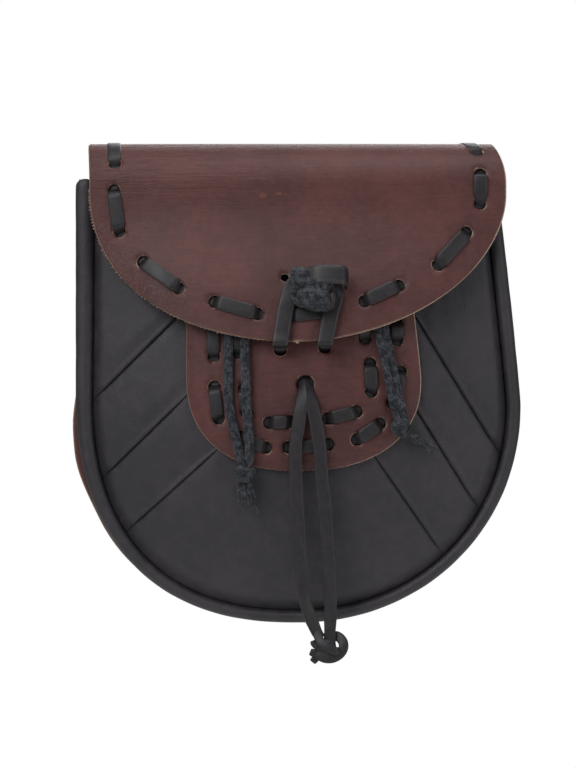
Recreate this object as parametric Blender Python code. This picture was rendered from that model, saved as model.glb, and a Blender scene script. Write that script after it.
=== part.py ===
"""A leather belt pouch of the sporran kind, built as separate sewn, laced and knotted pieces.

It hangs upright as it is worn: +Z is up, the front faces -Y, and +X is to the right of someone who
looks at the front. The origin is the middle of the belt's path through the two loops on the back.
Sizes are in millimetres, and TO_METRES turns them into metres when a mesh is made. "Forward" is a
distance in front of the belt's middle. "Drop" is a distance below the shoulder, which is the top
corner of the side wall. A station on the wrap is an angle of the roll from -90 at the back to 90 at
the front, and past those it goes on as millimetres down the back or down the flap.
"""

from collections import namedtuple

import bmesh
import bpy
import numpy as np

TO_METRES = 0.001
GAP = 0.3
SHOULDER_Z = 23.0

BELT_ROOM = 8.0
LOOP_WIDTH = 22.0
LOOP_WALL = 2.4
LOOP_CLEAR_HEIGHT = 46.0
LOOP_FOOT = 13.0
LOOP_RISE = 7.0
LOOP_SPREAD = 52.0

WRAP_WALL = 2.4
PANEL_WALL = 2.0
GUSSET_WALL = 1.8
BIB_WALL = 2.2

BODY_HEIGHT = 198.0
BODY_LEFT_REACH = 100.1
BODY_RIGHT_REACH = 100.6
MOUTH_TAPER = 11.7
BACK_OVERHANG = 1.1
GUSSET_DEPTH = 30.0
GUSSET_INSET = 0.9
GUSSET_BOW = 0.8
BINDING_WIDTH = 7.6
BINDING_FOOT_WIDTH = 5.8
BINDING_DEPTH = 7.2
DOME_HEIGHT = 15.0
PLEAT_HEIGHT = 2.6
PANEL_TUCK = 2.6
CORE_REACH = 45.0
CORE_HEIGHT = 122.0

FLAP_REACH = 93.6
FLAP_DROP = 71.0
FLAP_STAND = 2.2
FLAP_SPREAD = 9.0
FLAP_LIFT_MARGIN = 4.0
FLAP_LIFT_RUN = 44.0
FLAP_LIFT_SPREAD = 26.0
ROLL_HEIGHT = 17.8
ROLL_DROP = 0.0
CREST_LEFT_REACH = 94.3
CREST_RIGHT_REACH = 86.6
SHOULDER_BLEND = 10.0

BIB_LEFT_REACH = 50.2
BIB_RIGHT_REACH = 54.9
BIB_TAPER = 3.2
BIB_HEIGHT = 72.2
BIB_TUCK = 14.3
BIB_STAND = 2.1
BIB_RIM_STAND = 0.8
BIB_RIM_START = 0.9

LACE_WIDTH = 5.6
LACE_THICKNESS = 1.3
LACE_CLEARANCE = 0.4
HOLE_DIAMETER = 5.8
HOLE_LACE_WIDTH = 4.2
LACE_STEP = 4.5

CORD_DIAMETER = 2.6
THONG_DIAMETER = 2.6
CENTRE_HOLE_DIAMETER = 8.0
CORD_KNOT_RADII = (3.9, 3.6, 4.0)
THONG_KNOT_RADII = (7.2, 4.8, 5.6)
TAIL_WIDTH = 3.4
TAIL_THICKNESS = 1.4

BUTTON_RADIUS = 10.6
BUTTON_HEAD = 9.5
BUTTON_NECK_RADIUS = 3.4
CLOSURE_WIDTH = 6.4

BACK_FACE = BELT_ROOM / 2
BACK_MIDDLE = BACK_FACE + WRAP_WALL / 2
GUSSET_BACK = BACK_FACE + WRAP_WALL + GAP
GUSSET_FRONT = GUSSET_BACK + GUSSET_DEPTH
BINDING_MIDDLE = GUSSET_FRONT + GAP + BINDING_DEPTH / 2
FRONT = BINDING_MIDDLE + BINDING_DEPTH / 2
LACE_LEVEL = LACE_CLEARANCE + LACE_THICKNESS / 2
BIB_TOP = FLAP_DROP - BIB_TUCK
FLAP_LIFT = BIB_STAND + BIB_WALL + 2 * LACE_LEVEL + CORD_DIAMETER + 2 * GAP - FLAP_STAND
BUTTON_NECK = 3.5 * LACE_LEVEL

# The half outline of a piece: straight down from its top, then one round corner to its lowest point.
Edge = namedtuple("Edge", "side reach height straight_share roundness taper")
BODY = (
    Edge(-1, BODY_LEFT_REACH, BODY_HEIGHT, 0.457, 2.4, 0.0),
    Edge(1, BODY_RIGHT_REACH, BODY_HEIGHT, 0.503, 2.05, MOUTH_TAPER),
)
BACK = (
    Edge(-1, BODY_LEFT_REACH + BACK_OVERHANG, BODY_HEIGHT - GAP, 0.52, 2.4, BACK_OVERHANG),
    Edge(1, BODY_RIGHT_REACH - GAP, BODY_HEIGHT - GAP, 0.503, 2.05, MOUTH_TAPER),
)
FLAP = (
    Edge(-1, FLAP_REACH, FLAP_DROP, 0.04, 2.15, 0.0),
    Edge(1, FLAP_REACH, FLAP_DROP, 0.07, 1.87, 0.0),
)
BIB = (
    Edge(-1, BIB_LEFT_REACH, BIB_HEIGHT, 0.40, 2.4, 0.0),
    Edge(1, BIB_RIGHT_REACH, BIB_HEIGHT, 0.43, 2.3, BIB_TAPER),
)
CORE = (
    Edge(-1, CORE_REACH, CORE_HEIGHT, 0.66, 2.1, 0.0),
    Edge(1, CORE_REACH, CORE_HEIGHT, 0.66, 2.1, 0.0),
)
LEAN_POWER = 1.15
DOME_POWER = 2.4
DOME_ROUNDNESS = 2.3
MOUTH_RISE = 0.4

# A pleat runs from a share of the panel's edge to a share of its core, on the left and on the right.
Pleat = namedtuple("Pleat", "left_edge left_core right_edge right_core")
PLEATS = (
    Pleat(0.376, 0.34, 0.486, 0.32),
    Pleat(0.520, 0.60, 0.596, 0.59),
    Pleat(0.630, 0.79, 0.704, 0.80),
)
# Distances from a pleat's fold line along the edge, and the height there as a share of the pleat's.
PleatStep = namedtuple("PleatStep", "distance height")
PLEAT_STEPS = (
    PleatStep(-10.0, 0.0),
    PleatStep(-5.0, 0.55),
    PleatStep(-1.4, 1.0),
    PleatStep(0.5, -0.35),
    PleatStep(3.5, -0.2),
    PleatStep(8.0, 0.0),
)
CORE_SPREAD = 0.7
# Columns of the panel's grid on each side, as shares of the way from the edge to the core. A pleat has
# less height at the seam, and fades out over the last part of its reach.
PANEL_COLUMNS = (0.0, 0.05, 0.14, 0.28, 0.42, 0.56, 0.71, 0.86, 1.0)
PANEL_MIDDLE_COLUMNS = 4
PANEL_ROWS_ABOVE = 3
PANEL_ROWS_BELOW = 4
PLEAT_REACH = 0.86
PLEAT_FADE = 0.45
PLEAT_SEAM_SHARE = 0.5
PLEAT_SEAM_REACH = 0.14
TUCK_REACH = 0.12

# A visible stitch between two holes, each a share of the edge on its side and an inset from it.
Stitch = namedtuple("Stitch", "start_side start_share start_inset end_side end_share end_inset")
FLAP_STITCHES = (
    Stitch(0, 0.335, 10.6, 0, 0.548, 11.6),
    Stitch(0, 0.674, 12.6, 0, 0.856, 11.2),
    Stitch(0, 0.970, 11.2, 1, 0.876, 12.2),
    Stitch(1, 0.738, 15.0, 1, 0.580, 14.6),
    Stitch(1, 0.416, 12.3, 1, 0.232, 12.5),
)
BIB_OUTER_STITCHES = (
    Stitch(0, 0.052, 12.2, 0, 0.197, 12.2),
    Stitch(0, 0.340, 12.4, 0, 0.525, 9.9),
    Stitch(0, 0.686, 10.1, 0, 0.842, 9.4),
    Stitch(0, 0.956, 10.5, 1, 0.864, 11.1),
    Stitch(1, 0.721, 10.1, 1, 0.572, 10.7),
    Stitch(1, 0.424, 11.2, 1, 0.250, 8.9),
    Stitch(1, 0.117, 9.1, 1, 0.041, 8.6),
)
BIB_INNER_STITCHES = (
    Stitch(0, 0.064, 23.4, 0, 0.184, 23.4),
    Stitch(0, 0.376, 25.5, 0, 0.638, 21.1),
    Stitch(0, 0.836, 20.6, 0, 0.963, 22.1),
    Stitch(1, 0.842, 22.6, 1, 0.649, 21.4),
    Stitch(1, 0.384, 21.9, 1, 0.204, 22.2),
    Stitch(1, 0.096, 23.3, 1, 0.026, 22.7),
)
# Lace holes on the roll and beside it: x as a share of the flap's reach, and the station.
FoldHole = namedtuple("FoldHole", "reach_share station")
LEFT_BACK_HOLE = FoldHole(-0.905, -38.0)
LEFT_FOLD_HOLE = FoldHole(-0.897, 69.0)
LEFT_TOP_HOLE = FoldHole(-0.887, 90.5)
LEFT_TOP_END = Stitch(0, 0.212, 10.6, 0, 0.212, 10.6)
RIGHT_TOP_START = Stitch(1, 0.090, 11.2, 1, 0.090, 11.2)
RIGHT_TOP_HOLE = FoldHole(0.875, 71.0)
RIGHT_FOLD_HOLE = FoldHole(0.873, 48.5)
RIGHT_BACK_HOLE = FoldHole(0.740, -36.0)

# Places on the front as shares: x of the bib's or flap's reach, and drop of the bib's or flap's height.
FrontPlace = namedtuple("FrontPlace", "reach_share drop_share")
CENTRE_HOLE = FrontPlace(0.055, 0.460)
CLOSURE_LEFT_HOLE = FrontPlace(-0.148, 0.250)
CLOSURE_RIGHT_HOLE = FrontPlace(0.213, 0.235)
BUTTON_PLACE = FrontPlace(0.069, 0.655)

# The head of the knot button, from its underside to its top: shares of its radius, of its height and
# of the lobes' depth.
HeadRing = namedtuple("HeadRing", "radius_share height_share lobe_share")
BUTTON_RINGS = (
    HeadRing(0.80, 0.06, 0.4),
    HeadRing(1.00, 0.34, 1.0),
    HeadRing(0.95, 0.62, 1.0),
    HeadRing(0.62, 0.92, 0.6),
    HeadRing(0.10, 1.00, 0.0),
)
BUTTON_SIDES = 16
BUTTON_LOBES = 3
BUTTON_LOBE_DEPTH = 0.08
BUTTON_LOBE_TURN = 0.6
# The closure's two legs run over the flap's rim and lean in to the button: a distance up from the rim,
# and the share of the way from the hole's x to the button's side.
ClosureStep = namedtuple("ClosureStep", "above_rim lean")
CLOSURE_STEPS = (ClosureStep(-1.9, 0.0), ClosureStep(3.0, 0.15), ClosureStep(12.0, 0.5))
CLOSURE_LEG_END = 7.0
CLOSURE_TURN = (180.0, 145.0, 110.0, 70.0, 35.0, 0.0)

KNOT_ROWS = 8
KNOT_SIDES = 12
KNOT_LOBES = 3
KNOT_WAVE = 0.12
TAIL_WIDTH_SHARES = (0.7, 1.0, 1.1, 0.9)
PUNCH_SIDES = 6
PUNCH_REACH = 4.0

# A rounded edge's rows stop short of its lowest point by this angle, which leaves a small flat there.
LAST_TURN = 86.0
BINDING_SIDES = 8
BINDING_ROWS = 19
BINDING_END_SHARES = (0.62, 0.96)
GUSSET_ROWS = 17
GUSSET_COLUMNS = 4

# The free thongs and cords hang by their own routes: x, forward and drop of points chosen by hand.
THONG_LEFT_ROUTE = (
    (1.5, 62.6, 88.7),
    (1.5, 63.9, 90.2),
    (1.3, 65.3, 92.8),
    (0.5, 66.5, 97.5),
    (-1.2, 67.0, 105.0),
    (-2.2, 66.9, 116.0),
    (-1.4, 66.7, 129.0),
    (-0.2, 66.3, 151.0),
    (1.6, 65.8, 178.0),
    (3.9, 65.4, 190.0),
    (7.4, 65.1, 199.0),
    (8.7, 65.0, 201.6),
)
THONG_RIGHT_ROUTE = (
    (4.6, 62.6, 88.7),
    (4.6, 63.9, 90.2),
    (4.8, 65.3, 92.8),
    (6.0, 66.5, 97.5),
    (8.2, 67.0, 105.0),
    (9.7, 66.9, 116.0),
    (10.2, 66.7, 129.0),
    (12.2, 66.3, 151.0),
    (13.8, 65.8, 178.0),
    (14.2, 65.4, 190.0),
    (13.9, 65.1, 201.4),
)
THONG_KNOT = (12.5, 65.0, 207.5)
CORD_LEFT_A_ROUTE = (
    (-31.3, 61.9, 62.5),
    (-31.3, 62.4, 67.5),
    (-31.3, 63.6, 83.7),
    (-31.1, 64.5, 98.5),
    (-29.2, 65.1, 108.5),
    (-27.3, 65.3, 116.5),
    (-25.5, 64.7, 124.8),
)
CORD_LEFT_B_ROUTE = (
    (-24.1, 63.7, 62.5),
    (-24.1, 64.1, 67.5),
    (-24.0, 64.9, 74.0),
    (-23.7, 65.9, 83.7),
    (-23.2, 66.4, 98.5),
    (-22.3, 66.4, 110.7),
    (-21.8, 65.4, 119.0),
    (-22.2, 64.7, 124.8),
)
CORD_LEFT_KNOT = (-23.8, 64.2, 129.6)
CORD_LEFT_TAILS = (
    ((-23.8, 64.2, 129.6), (-25.4, 63.6, 134.5), (-26.3, 62.6, 139.5), (-26.8, 61.6, 144.5)),
    ((-23.8, 64.2, 129.6), (-21.4, 63.6, 135.0), (-19.2, 62.4, 142.0), (-18.0, 61.2, 148.0)),
)
CORD_RIGHT_A_ROUTE = (
    (35.6, 62.4, 62.5),
    (35.6, 63.0, 67.5),
    (37.3, 63.7, 74.7),
    (39.6, 64.4, 86.0),
    (41.9, 64.6, 97.2),
    (44.0, 64.6, 104.6),
)
CORD_RIGHT_B_ROUTE = (
    (38.8, 62.2, 62.5),
    (38.9, 62.8, 67.5),
    (40.6, 63.5, 74.7),
    (42.9, 64.2, 86.0),
    (45.2, 64.5, 97.2),
    (47.3, 64.6, 104.6),
)
CORD_RIGHT_KNOT = (45.7, 64.6, 109.4)
CORD_RIGHT_TAILS = (
    ((45.7, 64.6, 109.4), (50.0, 64.0, 113.5), (55.0, 62.6, 116.5), (61.0, 60.6, 119.5)),
    ((45.7, 64.6, 109.4), (48.5, 63.8, 115.0), (52.5, 62.4, 119.5), (57.0, 60.6, 122.5)),
)
ROUTE_STEP_DIAMETERS = 2.6


def clear_scene():
    for item in list(bpy.data.objects):
        bpy.data.objects.remove(item, do_unlink=True)


def leather(name, colour, roughness):
    """Make a leather material with one plain colour."""
    material = bpy.data.materials.new(name)
    material.use_nodes = True
    shader = material.node_tree.nodes["Principled BSDF"]
    shader.inputs["Base Color"].default_value = (*colour, 1.0)
    shader.inputs["Roughness"].default_value = roughness
    shader.inputs["Metallic"].default_value = 0.0
    return material


def smooth(value):
    """Ease from 0 to 1 as the value goes from 0 to 1."""
    share = np.clip(value, 0.0, 1.0)
    return share * share * (3.0 - 2.0 * share)


def mix(first, second, share):
    return first + (second - first) * share


def unit(vectors):
    """Scale each vector to a length of 1."""
    return vectors / np.linalg.norm(vectors, axis=-1, keepdims=True)


def place(x, forward, drop):
    """Turn x, forward and drop into points with x, y and z."""
    x, forward, drop = np.broadcast_arrays(x, forward, drop)
    return np.stack([x, -forward, SHOULDER_Z - drop], axis=-1).astype(float)


def reach_at(edge, drop):
    """Give a piece's half width at a drop from its own top."""
    straight = edge.straight_share * edge.height
    lean = edge.taper * np.clip(1.0 - drop / straight, 0.0, None) ** LEAN_POWER
    turned = np.clip((drop - straight) / (edge.height - straight), 0.0, 1.0)
    return (edge.reach - lean) * (1.0 - turned**edge.roundness) ** (1.0 / edge.roundness)


def edge_curve(edge):
    """Trace a half outline at even spacing: reach, drop, and its length."""
    straight = edge.straight_share * edge.height
    upper = np.linspace(0.0, straight, 60, endpoint=False)
    turn = np.linspace(0.0, np.pi / 2, 600)
    power = 2.0 / edge.roundness
    drop = np.concatenate([upper, straight + (edge.height - straight) * np.sin(turn) ** power])
    lean = edge.taper * (1.0 - upper / straight) ** LEAN_POWER
    reach = np.concatenate([edge.reach - lean, edge.reach * np.cos(turn) ** power])
    travel = np.concatenate([[0.0], np.cumsum(np.hypot(np.diff(reach), np.diff(drop)))])
    even = np.linspace(0.0, travel[-1], 1201)
    return np.interp(even, travel, reach), np.interp(even, travel, drop), travel[-1]


def along_edge(edge, share, inset):
    """Give x and drop at a share of the half outline's length, moved inwards by the inset."""
    reach, drop, _ = edge_curve(edge)
    across = np.gradient(reach)
    down = np.gradient(drop)
    size = np.hypot(across, down)
    shares = np.linspace(0.0, 1.0, len(reach))
    inward_x = np.interp(share, shares, -down / size)
    inward_drop = np.interp(share, shares, across / size)
    x = np.interp(share, shares, reach) + inward_x * inset
    lower = np.interp(share, shares, drop) + inward_drop * inset
    return edge.side * x, lower


def chain(pair, count, inset):
    """Go down the left edge and up the right one; inset is one number, or one for each place."""
    shares = np.linspace(0.0, 1.0, count)
    left_x, left_drop = along_edge(pair[0], shares, inset)
    right_x, right_drop = along_edge(pair[1], shares, inset)
    x = np.concatenate([left_x, right_x[-2::-1]])
    drop = np.concatenate([left_drop, right_drop[-2::-1]])
    return x, drop


def rim_closeness(pair, x, drop, inset):
    """Say how near a place is to a piece's rim: 0 at the middle and 1 at the rim."""
    edge_values = []
    for edge in pair:
        straight = edge.straight_share * edge.height
        lean = edge.taper * np.clip(1.0 - drop / straight, 0.0, 1.0) ** LEAN_POWER
        across = np.abs(x) / (edge.reach - lean - inset)
        down = np.clip((drop - straight) / (edge.height - inset - straight), 0.0, None)
        edge_values.append((across**DOME_ROUNDNESS + down**DOME_ROUNDNESS) ** (1.0 / DOME_ROUNDNESS))
    return np.where(np.asarray(x) < 0.0, edge_values[0], edge_values[1])


def dome(x, drop, inset):
    """Give how far the body's front swells forward of the binding; it ends at the inset from the edge."""
    closeness = rim_closeness(BODY, x, np.clip(drop, 0.0, None), inset)
    swell = 1.0 - np.clip(closeness, 0.0, 1.0) ** DOME_POWER
    rise = mix(MOUTH_RISE, 1.0, smooth(drop / (BODY_HEIGHT / 2)))
    return DOME_HEIGHT * swell * rise


def binding_width(share):
    """Give the binding's width at a share of a side, slimmer at the foot."""
    return mix(BINDING_WIDTH, BINDING_FOOT_WIDTH, smooth(share))


def bib_middle(x, drop):
    """Give points on the middle of the bib's wall; drop is measured from the bib's top."""
    closeness = rim_closeness(BIB, x, np.clip(drop, 0.0, None), 0.0)
    stand = mix(BIB_STAND, BIB_RIM_STAND, smooth((closeness - BIB_RIM_START) / (1.0 - BIB_RIM_START)))
    forward = FRONT + dome(x, drop + BIB_TOP, BINDING_WIDTH) + stand + BIB_WALL / 2
    return place(x, forward, drop + BIB_TOP)


def flap_stand(x, drop):
    """Give the flap's distance from the body's front: more where it lies over the bib and cords."""
    beside = smooth((np.abs(x) - BIB_RIGHT_REACH - FLAP_LIFT_MARGIN) / FLAP_LIFT_SPREAD)
    above = smooth((BIB_TOP - FLAP_LIFT_MARGIN - drop) / FLAP_LIFT_RUN)
    return FLAP_STAND + FLAP_LIFT * (1.0 - beside) * (1.0 - above)


def wrap_middle(x, station):
    """Give points on the middle of the wall of the back, the roll and the flap."""
    x, station = np.broadcast_arrays(np.asarray(x, float), np.asarray(station, float))
    angle = np.radians(np.clip(station, -90.0, 90.0))
    run = np.clip(np.abs(station) - 90.0, 0.0, None)
    drop = ROLL_DROP - ROLL_HEIGHT * np.cos(angle) + run
    swell = dome(x, np.clip(drop, ROLL_DROP, None), -FLAP_SPREAD)
    front = FRONT + swell + flap_stand(x, drop) + WRAP_WALL / 2
    share = (1.0 + np.sin(angle)) / 2
    return place(x, mix(BACK_MIDDLE, front, share), drop)


def flap_station(drop):
    """Turn a drop on the flap's flat part into its station."""
    return 90.0 + drop - ROLL_DROP


def wrap_edges(station):
    """Give the left and right reach of the wrap at a station."""
    run = max(abs(station) - 90.0, 0.0)
    drop = ROLL_DROP + run
    turn = np.sin(np.radians(np.clip(station, -90.0, 90.0))) ** 2
    back_right = reach_at(BACK[1], ROLL_DROP)
    if station < -90.0:
        blend = smooth(run / SHOULDER_BLEND)
        return mix(CREST_LEFT_REACH, reach_at(BACK[0], drop), blend), reach_at(BACK[1], drop)
    if station < 0.0:
        return CREST_LEFT_REACH, mix(CREST_RIGHT_REACH, back_right, turn)
    left = mix(CREST_LEFT_REACH, reach_at(FLAP[0], drop), turn)
    return left, mix(CREST_RIGHT_REACH, reach_at(FLAP[1], drop), turn)


def frame_at(surface, x, along):
    """Give points on a surface and its outward directions there."""
    step = 0.4
    across = surface(x + step, along) - surface(x - step, along)
    down = surface(x, along + step) - surface(x, along - step)
    return surface(x, along), -unit(np.cross(across, down))


def edge_dense(count):
    """List shares from 0 to 1 that lie closer together near both ends."""
    even = np.linspace(0.0, 1.0, count)
    return mix(even, (1.0 - np.cos(np.pi * even)) / 2, 0.6)


def make_object(name, points, faces, material):
    """Make one closed mesh from points in millimetres."""
    mesh = bpy.data.meshes.new(name)
    mesh.from_pydata((points * TO_METRES).tolist(), [], faces)
    work = bmesh.new()
    work.from_mesh(mesh)
    bmesh.ops.remove_doubles(work, verts=work.verts, dist=0.00001)
    bmesh.ops.recalc_face_normals(work, faces=work.faces)
    bmesh.ops.triangulate(work, faces=work.faces)
    work.to_mesh(mesh)
    work.free()
    mesh.materials.append(material)
    mesh.shade_smooth()
    mesh.set_sharp_from_angle(angle=np.radians(40.0))
    item = bpy.data.objects.new(name, mesh)
    bpy.context.collection.objects.link(item)
    return item


def grid_faces(rows, columns, start, closed):
    """List the quads of a grid whose first point has the number given as start."""
    faces = []
    last = columns if closed else columns - 1
    for row in range(rows - 1):
        for column in range(last):
            after = (column + 1) % columns
            here = start + row * columns
            below = here + columns
            faces.append((here + column, below + column, below + after, here + after))
    return faces


def closed_sheet(name, outer, inner, material, seam_at_foot=False):
    """Join an outer and an inner grid of points into one closed wall.

    Where the last row folds back on itself along a middle seam, it needs no rim.
    """
    rows, columns = outer.shape[:2]
    points = np.concatenate([outer.reshape(-1, 3), inner.reshape(-1, 3)])
    offset = rows * columns
    faces = grid_faces(rows, columns, 0, False)
    faces += [tuple(reversed(face)) for face in grid_faces(rows, columns, offset, False)]
    top = list(range(columns))
    right = [row * columns + columns - 1 for row in range(rows)]
    foot = list(range(offset - 1, offset - columns - 1, -1))
    left = [row * columns for row in range(rows - 1, -1, -1)]
    borders = [top, right, left] if seam_at_foot else [top, right, foot, left]
    for border in borders:
        for first, second in zip(border, border[1:]):
            faces.append((first, second, second + offset, first + offset))
    return make_object(name, points, faces, material)


def ring_body(name, rings, material):
    """Join closed rings of points, one after another, into a body with flat ends."""
    count, sides = rings.shape[:2]
    points = rings.reshape(-1, 3)
    faces = grid_faces(count, sides, 0, True)
    faces.append(tuple(range(sides)))
    faces.append(tuple(range((count - 1) * sides, count * sides)))
    return make_object(name, points, faces, material)


def strap(name, points, sides, widths, thickness, material):
    """Carry a flat rectangular section along a path; sides point across the strap."""
    runs = unit(np.diff(points, axis=0))
    tangents = unit(np.concatenate([runs[:1], runs[1:] + runs[:-1], runs[-1:]]))
    bend = np.concatenate([[1.0], np.sum(tangents[1:-1] * runs[1:], axis=1), [1.0]])
    across = unit(sides - tangents * np.sum(sides * tangents, axis=1, keepdims=True))
    through = np.cross(tangents, across) * (thickness / 2 / np.clip(bend, 0.6, 1.0))[:, None]
    half = across * (np.asarray(widths) / 2)[:, None]
    corners = [half + through, half - through, -half - through, -half + through]
    rings = np.stack([points + corner for corner in corners], axis=1)
    return ring_body(name, rings, material)


def lumpy_ball(name, centre, radii, material):
    """Make a closed ball whose radius waves round its forward axis."""
    polar = np.linspace(0.0, np.pi, KNOT_ROWS)[:, None]
    around = np.linspace(0.0, 2 * np.pi, KNOT_SIDES, endpoint=False)[None, :]
    wave = 1.0 + KNOT_WAVE * np.cos(KNOT_LOBES * around + 2.0 * polar) * np.sin(polar)
    x = centre[0] + radii[0] * np.sin(polar) * np.cos(around) * wave
    y = centre[1] - radii[1] * np.cos(polar) * np.ones_like(around)
    z = centre[2] + radii[2] * np.sin(polar) * np.sin(around) * wave
    return ring_body(name, np.stack([x, y, z], axis=-1), material)


def hide_cutter(item):
    item.hide_render = True
    item.display_type = "WIRE"


def combine(target, other, operation):
    """Add a Boolean modifier that joins another object to the target or cuts it away."""
    hide_cutter(other)
    modifier = target.modifiers.new(operation.title(), "BOOLEAN")
    modifier.operation = operation
    modifier.solver = "EXACT"
    modifier.object = other


def punch(target, centres, directions, diameter):
    """Cut six-sided holes through a wall."""
    sides = PUNCH_SIDES
    around = np.linspace(0.0, 2 * np.pi, sides, endpoint=False) + np.pi / sides
    rings = []
    faces = []
    for number, (centre, direction) in enumerate(zip(centres, directions)):
        across = unit(np.cross(direction, (1.0, 0.2, 0.1)))
        beside = np.cross(direction, across)
        circle = np.cos(around)[:, None] * across + np.sin(around)[:, None] * beside
        rings.append(centre - direction * PUNCH_REACH + circle * diameter / 2)
        rings.append(centre + direction * PUNCH_REACH + circle * diameter / 2)
        start = number * 2 * sides
        faces += grid_faces(2, sides, start, True)
        faces.append(tuple(range(start, start + sides)))
        faces.append(tuple(range(start + sides, start + 2 * sides)))
    cutter = make_object(target.name + "_holes", np.concatenate(rings), faces, target.data.materials[0])
    combine(target, cutter, "DIFFERENCE")


def lace_path(surface, wall, stitches):
    """Give the middle line, the cross direction and the width of a running stitch.

    Each stitch is a pair of places on the surface. The lace comes out of the first hole, lies on the
    outside, goes into the second and passes behind the wall to the next stitch.
    """
    lift = wall / 2 + LACE_LEVEL
    points = []
    sides = []
    widths = []

    def add_section(position, direction, level, width):
        point, outward = frame_at(surface, position[0], position[1])
        points.append(point + outward * level)
        sides.append(unit(np.cross(outward, direction)))
        widths.append(width)

    def add_run(start, end, level, direction):
        samples = mix(start, end, np.linspace(0.0, 1.0, 12)[:, None])
        steps = np.diff(surface(samples[:, 0], samples[:, 1]), axis=0)
        length = np.sum(np.linalg.norm(steps, axis=1))
        count = max(int(length // LACE_STEP), 2)
        margin = HOLE_DIAMETER * 0.6 / length
        for share in np.linspace(margin, 1.0 - margin, count):
            edge_distance = min(share, 1.0 - share) * length
            width = mix(HOLE_LACE_WIDTH, LACE_WIDTH, smooth(edge_distance / HOLE_DIAMETER))
            add_section(mix(start, end, share), direction, level, width)

    behind = None
    for number, (start, end) in enumerate(stitches):
        start = np.array(start)
        end = np.array(end)
        direction = surface(*end) - surface(*start)
        add_section(start, direction if behind is None else behind, -lift, HOLE_LACE_WIDTH)
        add_section(start, direction, lift, HOLE_LACE_WIDTH)
        add_run(start, end, lift, direction)
        add_section(end, direction, lift, HOLE_LACE_WIDTH)
        behind = direction
        if number + 1 < len(stitches):
            following = np.array(stitches[number + 1][0])
            behind = surface(*following) - surface(*end)
            add_section(end, behind, -lift, HOLE_LACE_WIDTH)
            add_run(end, following, -lift, behind)
        else:
            add_section(end, direction, -lift, HOLE_LACE_WIDTH)
    return np.array(points), np.array(sides), np.array(widths)


def stitch_places(pair, table):
    """Turn a table of stitches into pairs of x and drop."""
    places = []
    for row in table:
        start = along_edge(pair[row.start_side], row.start_share, row.start_inset)
        end = along_edge(pair[row.end_side], row.end_share, row.end_inset)
        places.append((start, end))
    return places


def on_wrap(position):
    """Turn x and drop on the flap into x and station."""
    return position[0], flap_station(position[1])


def on_fold(hole):
    """Give x and station of a hole on the roll."""
    return hole.reach_share * FLAP_REACH, hole.station


def flap_stitches():
    """List the flap lace's stitches as x and station, from the left end of the fold to the right."""
    left_end = stitch_places(FLAP, [LEFT_TOP_END])[0][0]
    right_start = stitch_places(FLAP, [RIGHT_TOP_START])[0][0]
    stitches = [
        (on_fold(LEFT_BACK_HOLE), on_fold(LEFT_FOLD_HOLE)),
        (on_fold(LEFT_TOP_HOLE), on_wrap(left_end)),
    ]
    for start, end in stitch_places(FLAP, FLAP_STITCHES):
        stitches.append((on_wrap(start), on_wrap(end)))
    stitches.append((on_wrap(right_start), on_fold(RIGHT_TOP_HOLE)))
    stitches.append((on_fold(RIGHT_FOLD_HOLE), on_fold(RIGHT_BACK_HOLE)))
    return stitches


def front_place(place_shares, reach, height):
    return place_shares.reach_share * reach, place_shares.drop_share * height


def pleat_rows():
    """List the panel's rows from the mouth to the foot.

    A row holds its shares of the left edge, left core, right edge and right core, and its height.
    """
    left_length = edge_curve(BODY[0])[2]
    right_length = edge_curve(BODY[1])[2]
    core_length = edge_curve(CORE[0])[2]
    rows = []
    for pleat in PLEATS:
        for step in PLEAT_STEPS:
            core_shift = step.distance * CORE_SPREAD / core_length
            rows.append((
                pleat.left_edge + step.distance / left_length,
                pleat.left_core + core_shift,
                pleat.right_edge + step.distance / right_length,
                pleat.right_core + core_shift,
                step.height,
            ))
    rows = np.array(rows)
    mouth = np.zeros(5)
    foot = np.array((1.0, 1.0, 1.0, 1.0, 0.0))
    above = mix(mouth, rows[0], np.linspace(0.0, 1.0, PANEL_ROWS_ABOVE + 2)[:-1, None])
    below = mix(rows[-1], foot, np.linspace(0.0, 1.0, PANEL_ROWS_BELOW + 2)[1:, None])
    return np.concatenate([above, rows, below])


def panel_half(edge, core, edge_shares, core_shares):
    """Give x and drop of the panel's grid on one side, from the binding to the core."""
    edge_x, edge_drop = along_edge(edge, edge_shares, binding_width(edge_shares) + GAP)
    core_x, core_drop = along_edge(core, core_shares, 0.0)
    columns = np.array(PANEL_COLUMNS)
    x = mix(edge_x[:, None], core_x[:, None], columns)
    drop = mix(edge_drop[:, None], core_drop[:, None], columns)
    return x, drop


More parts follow.
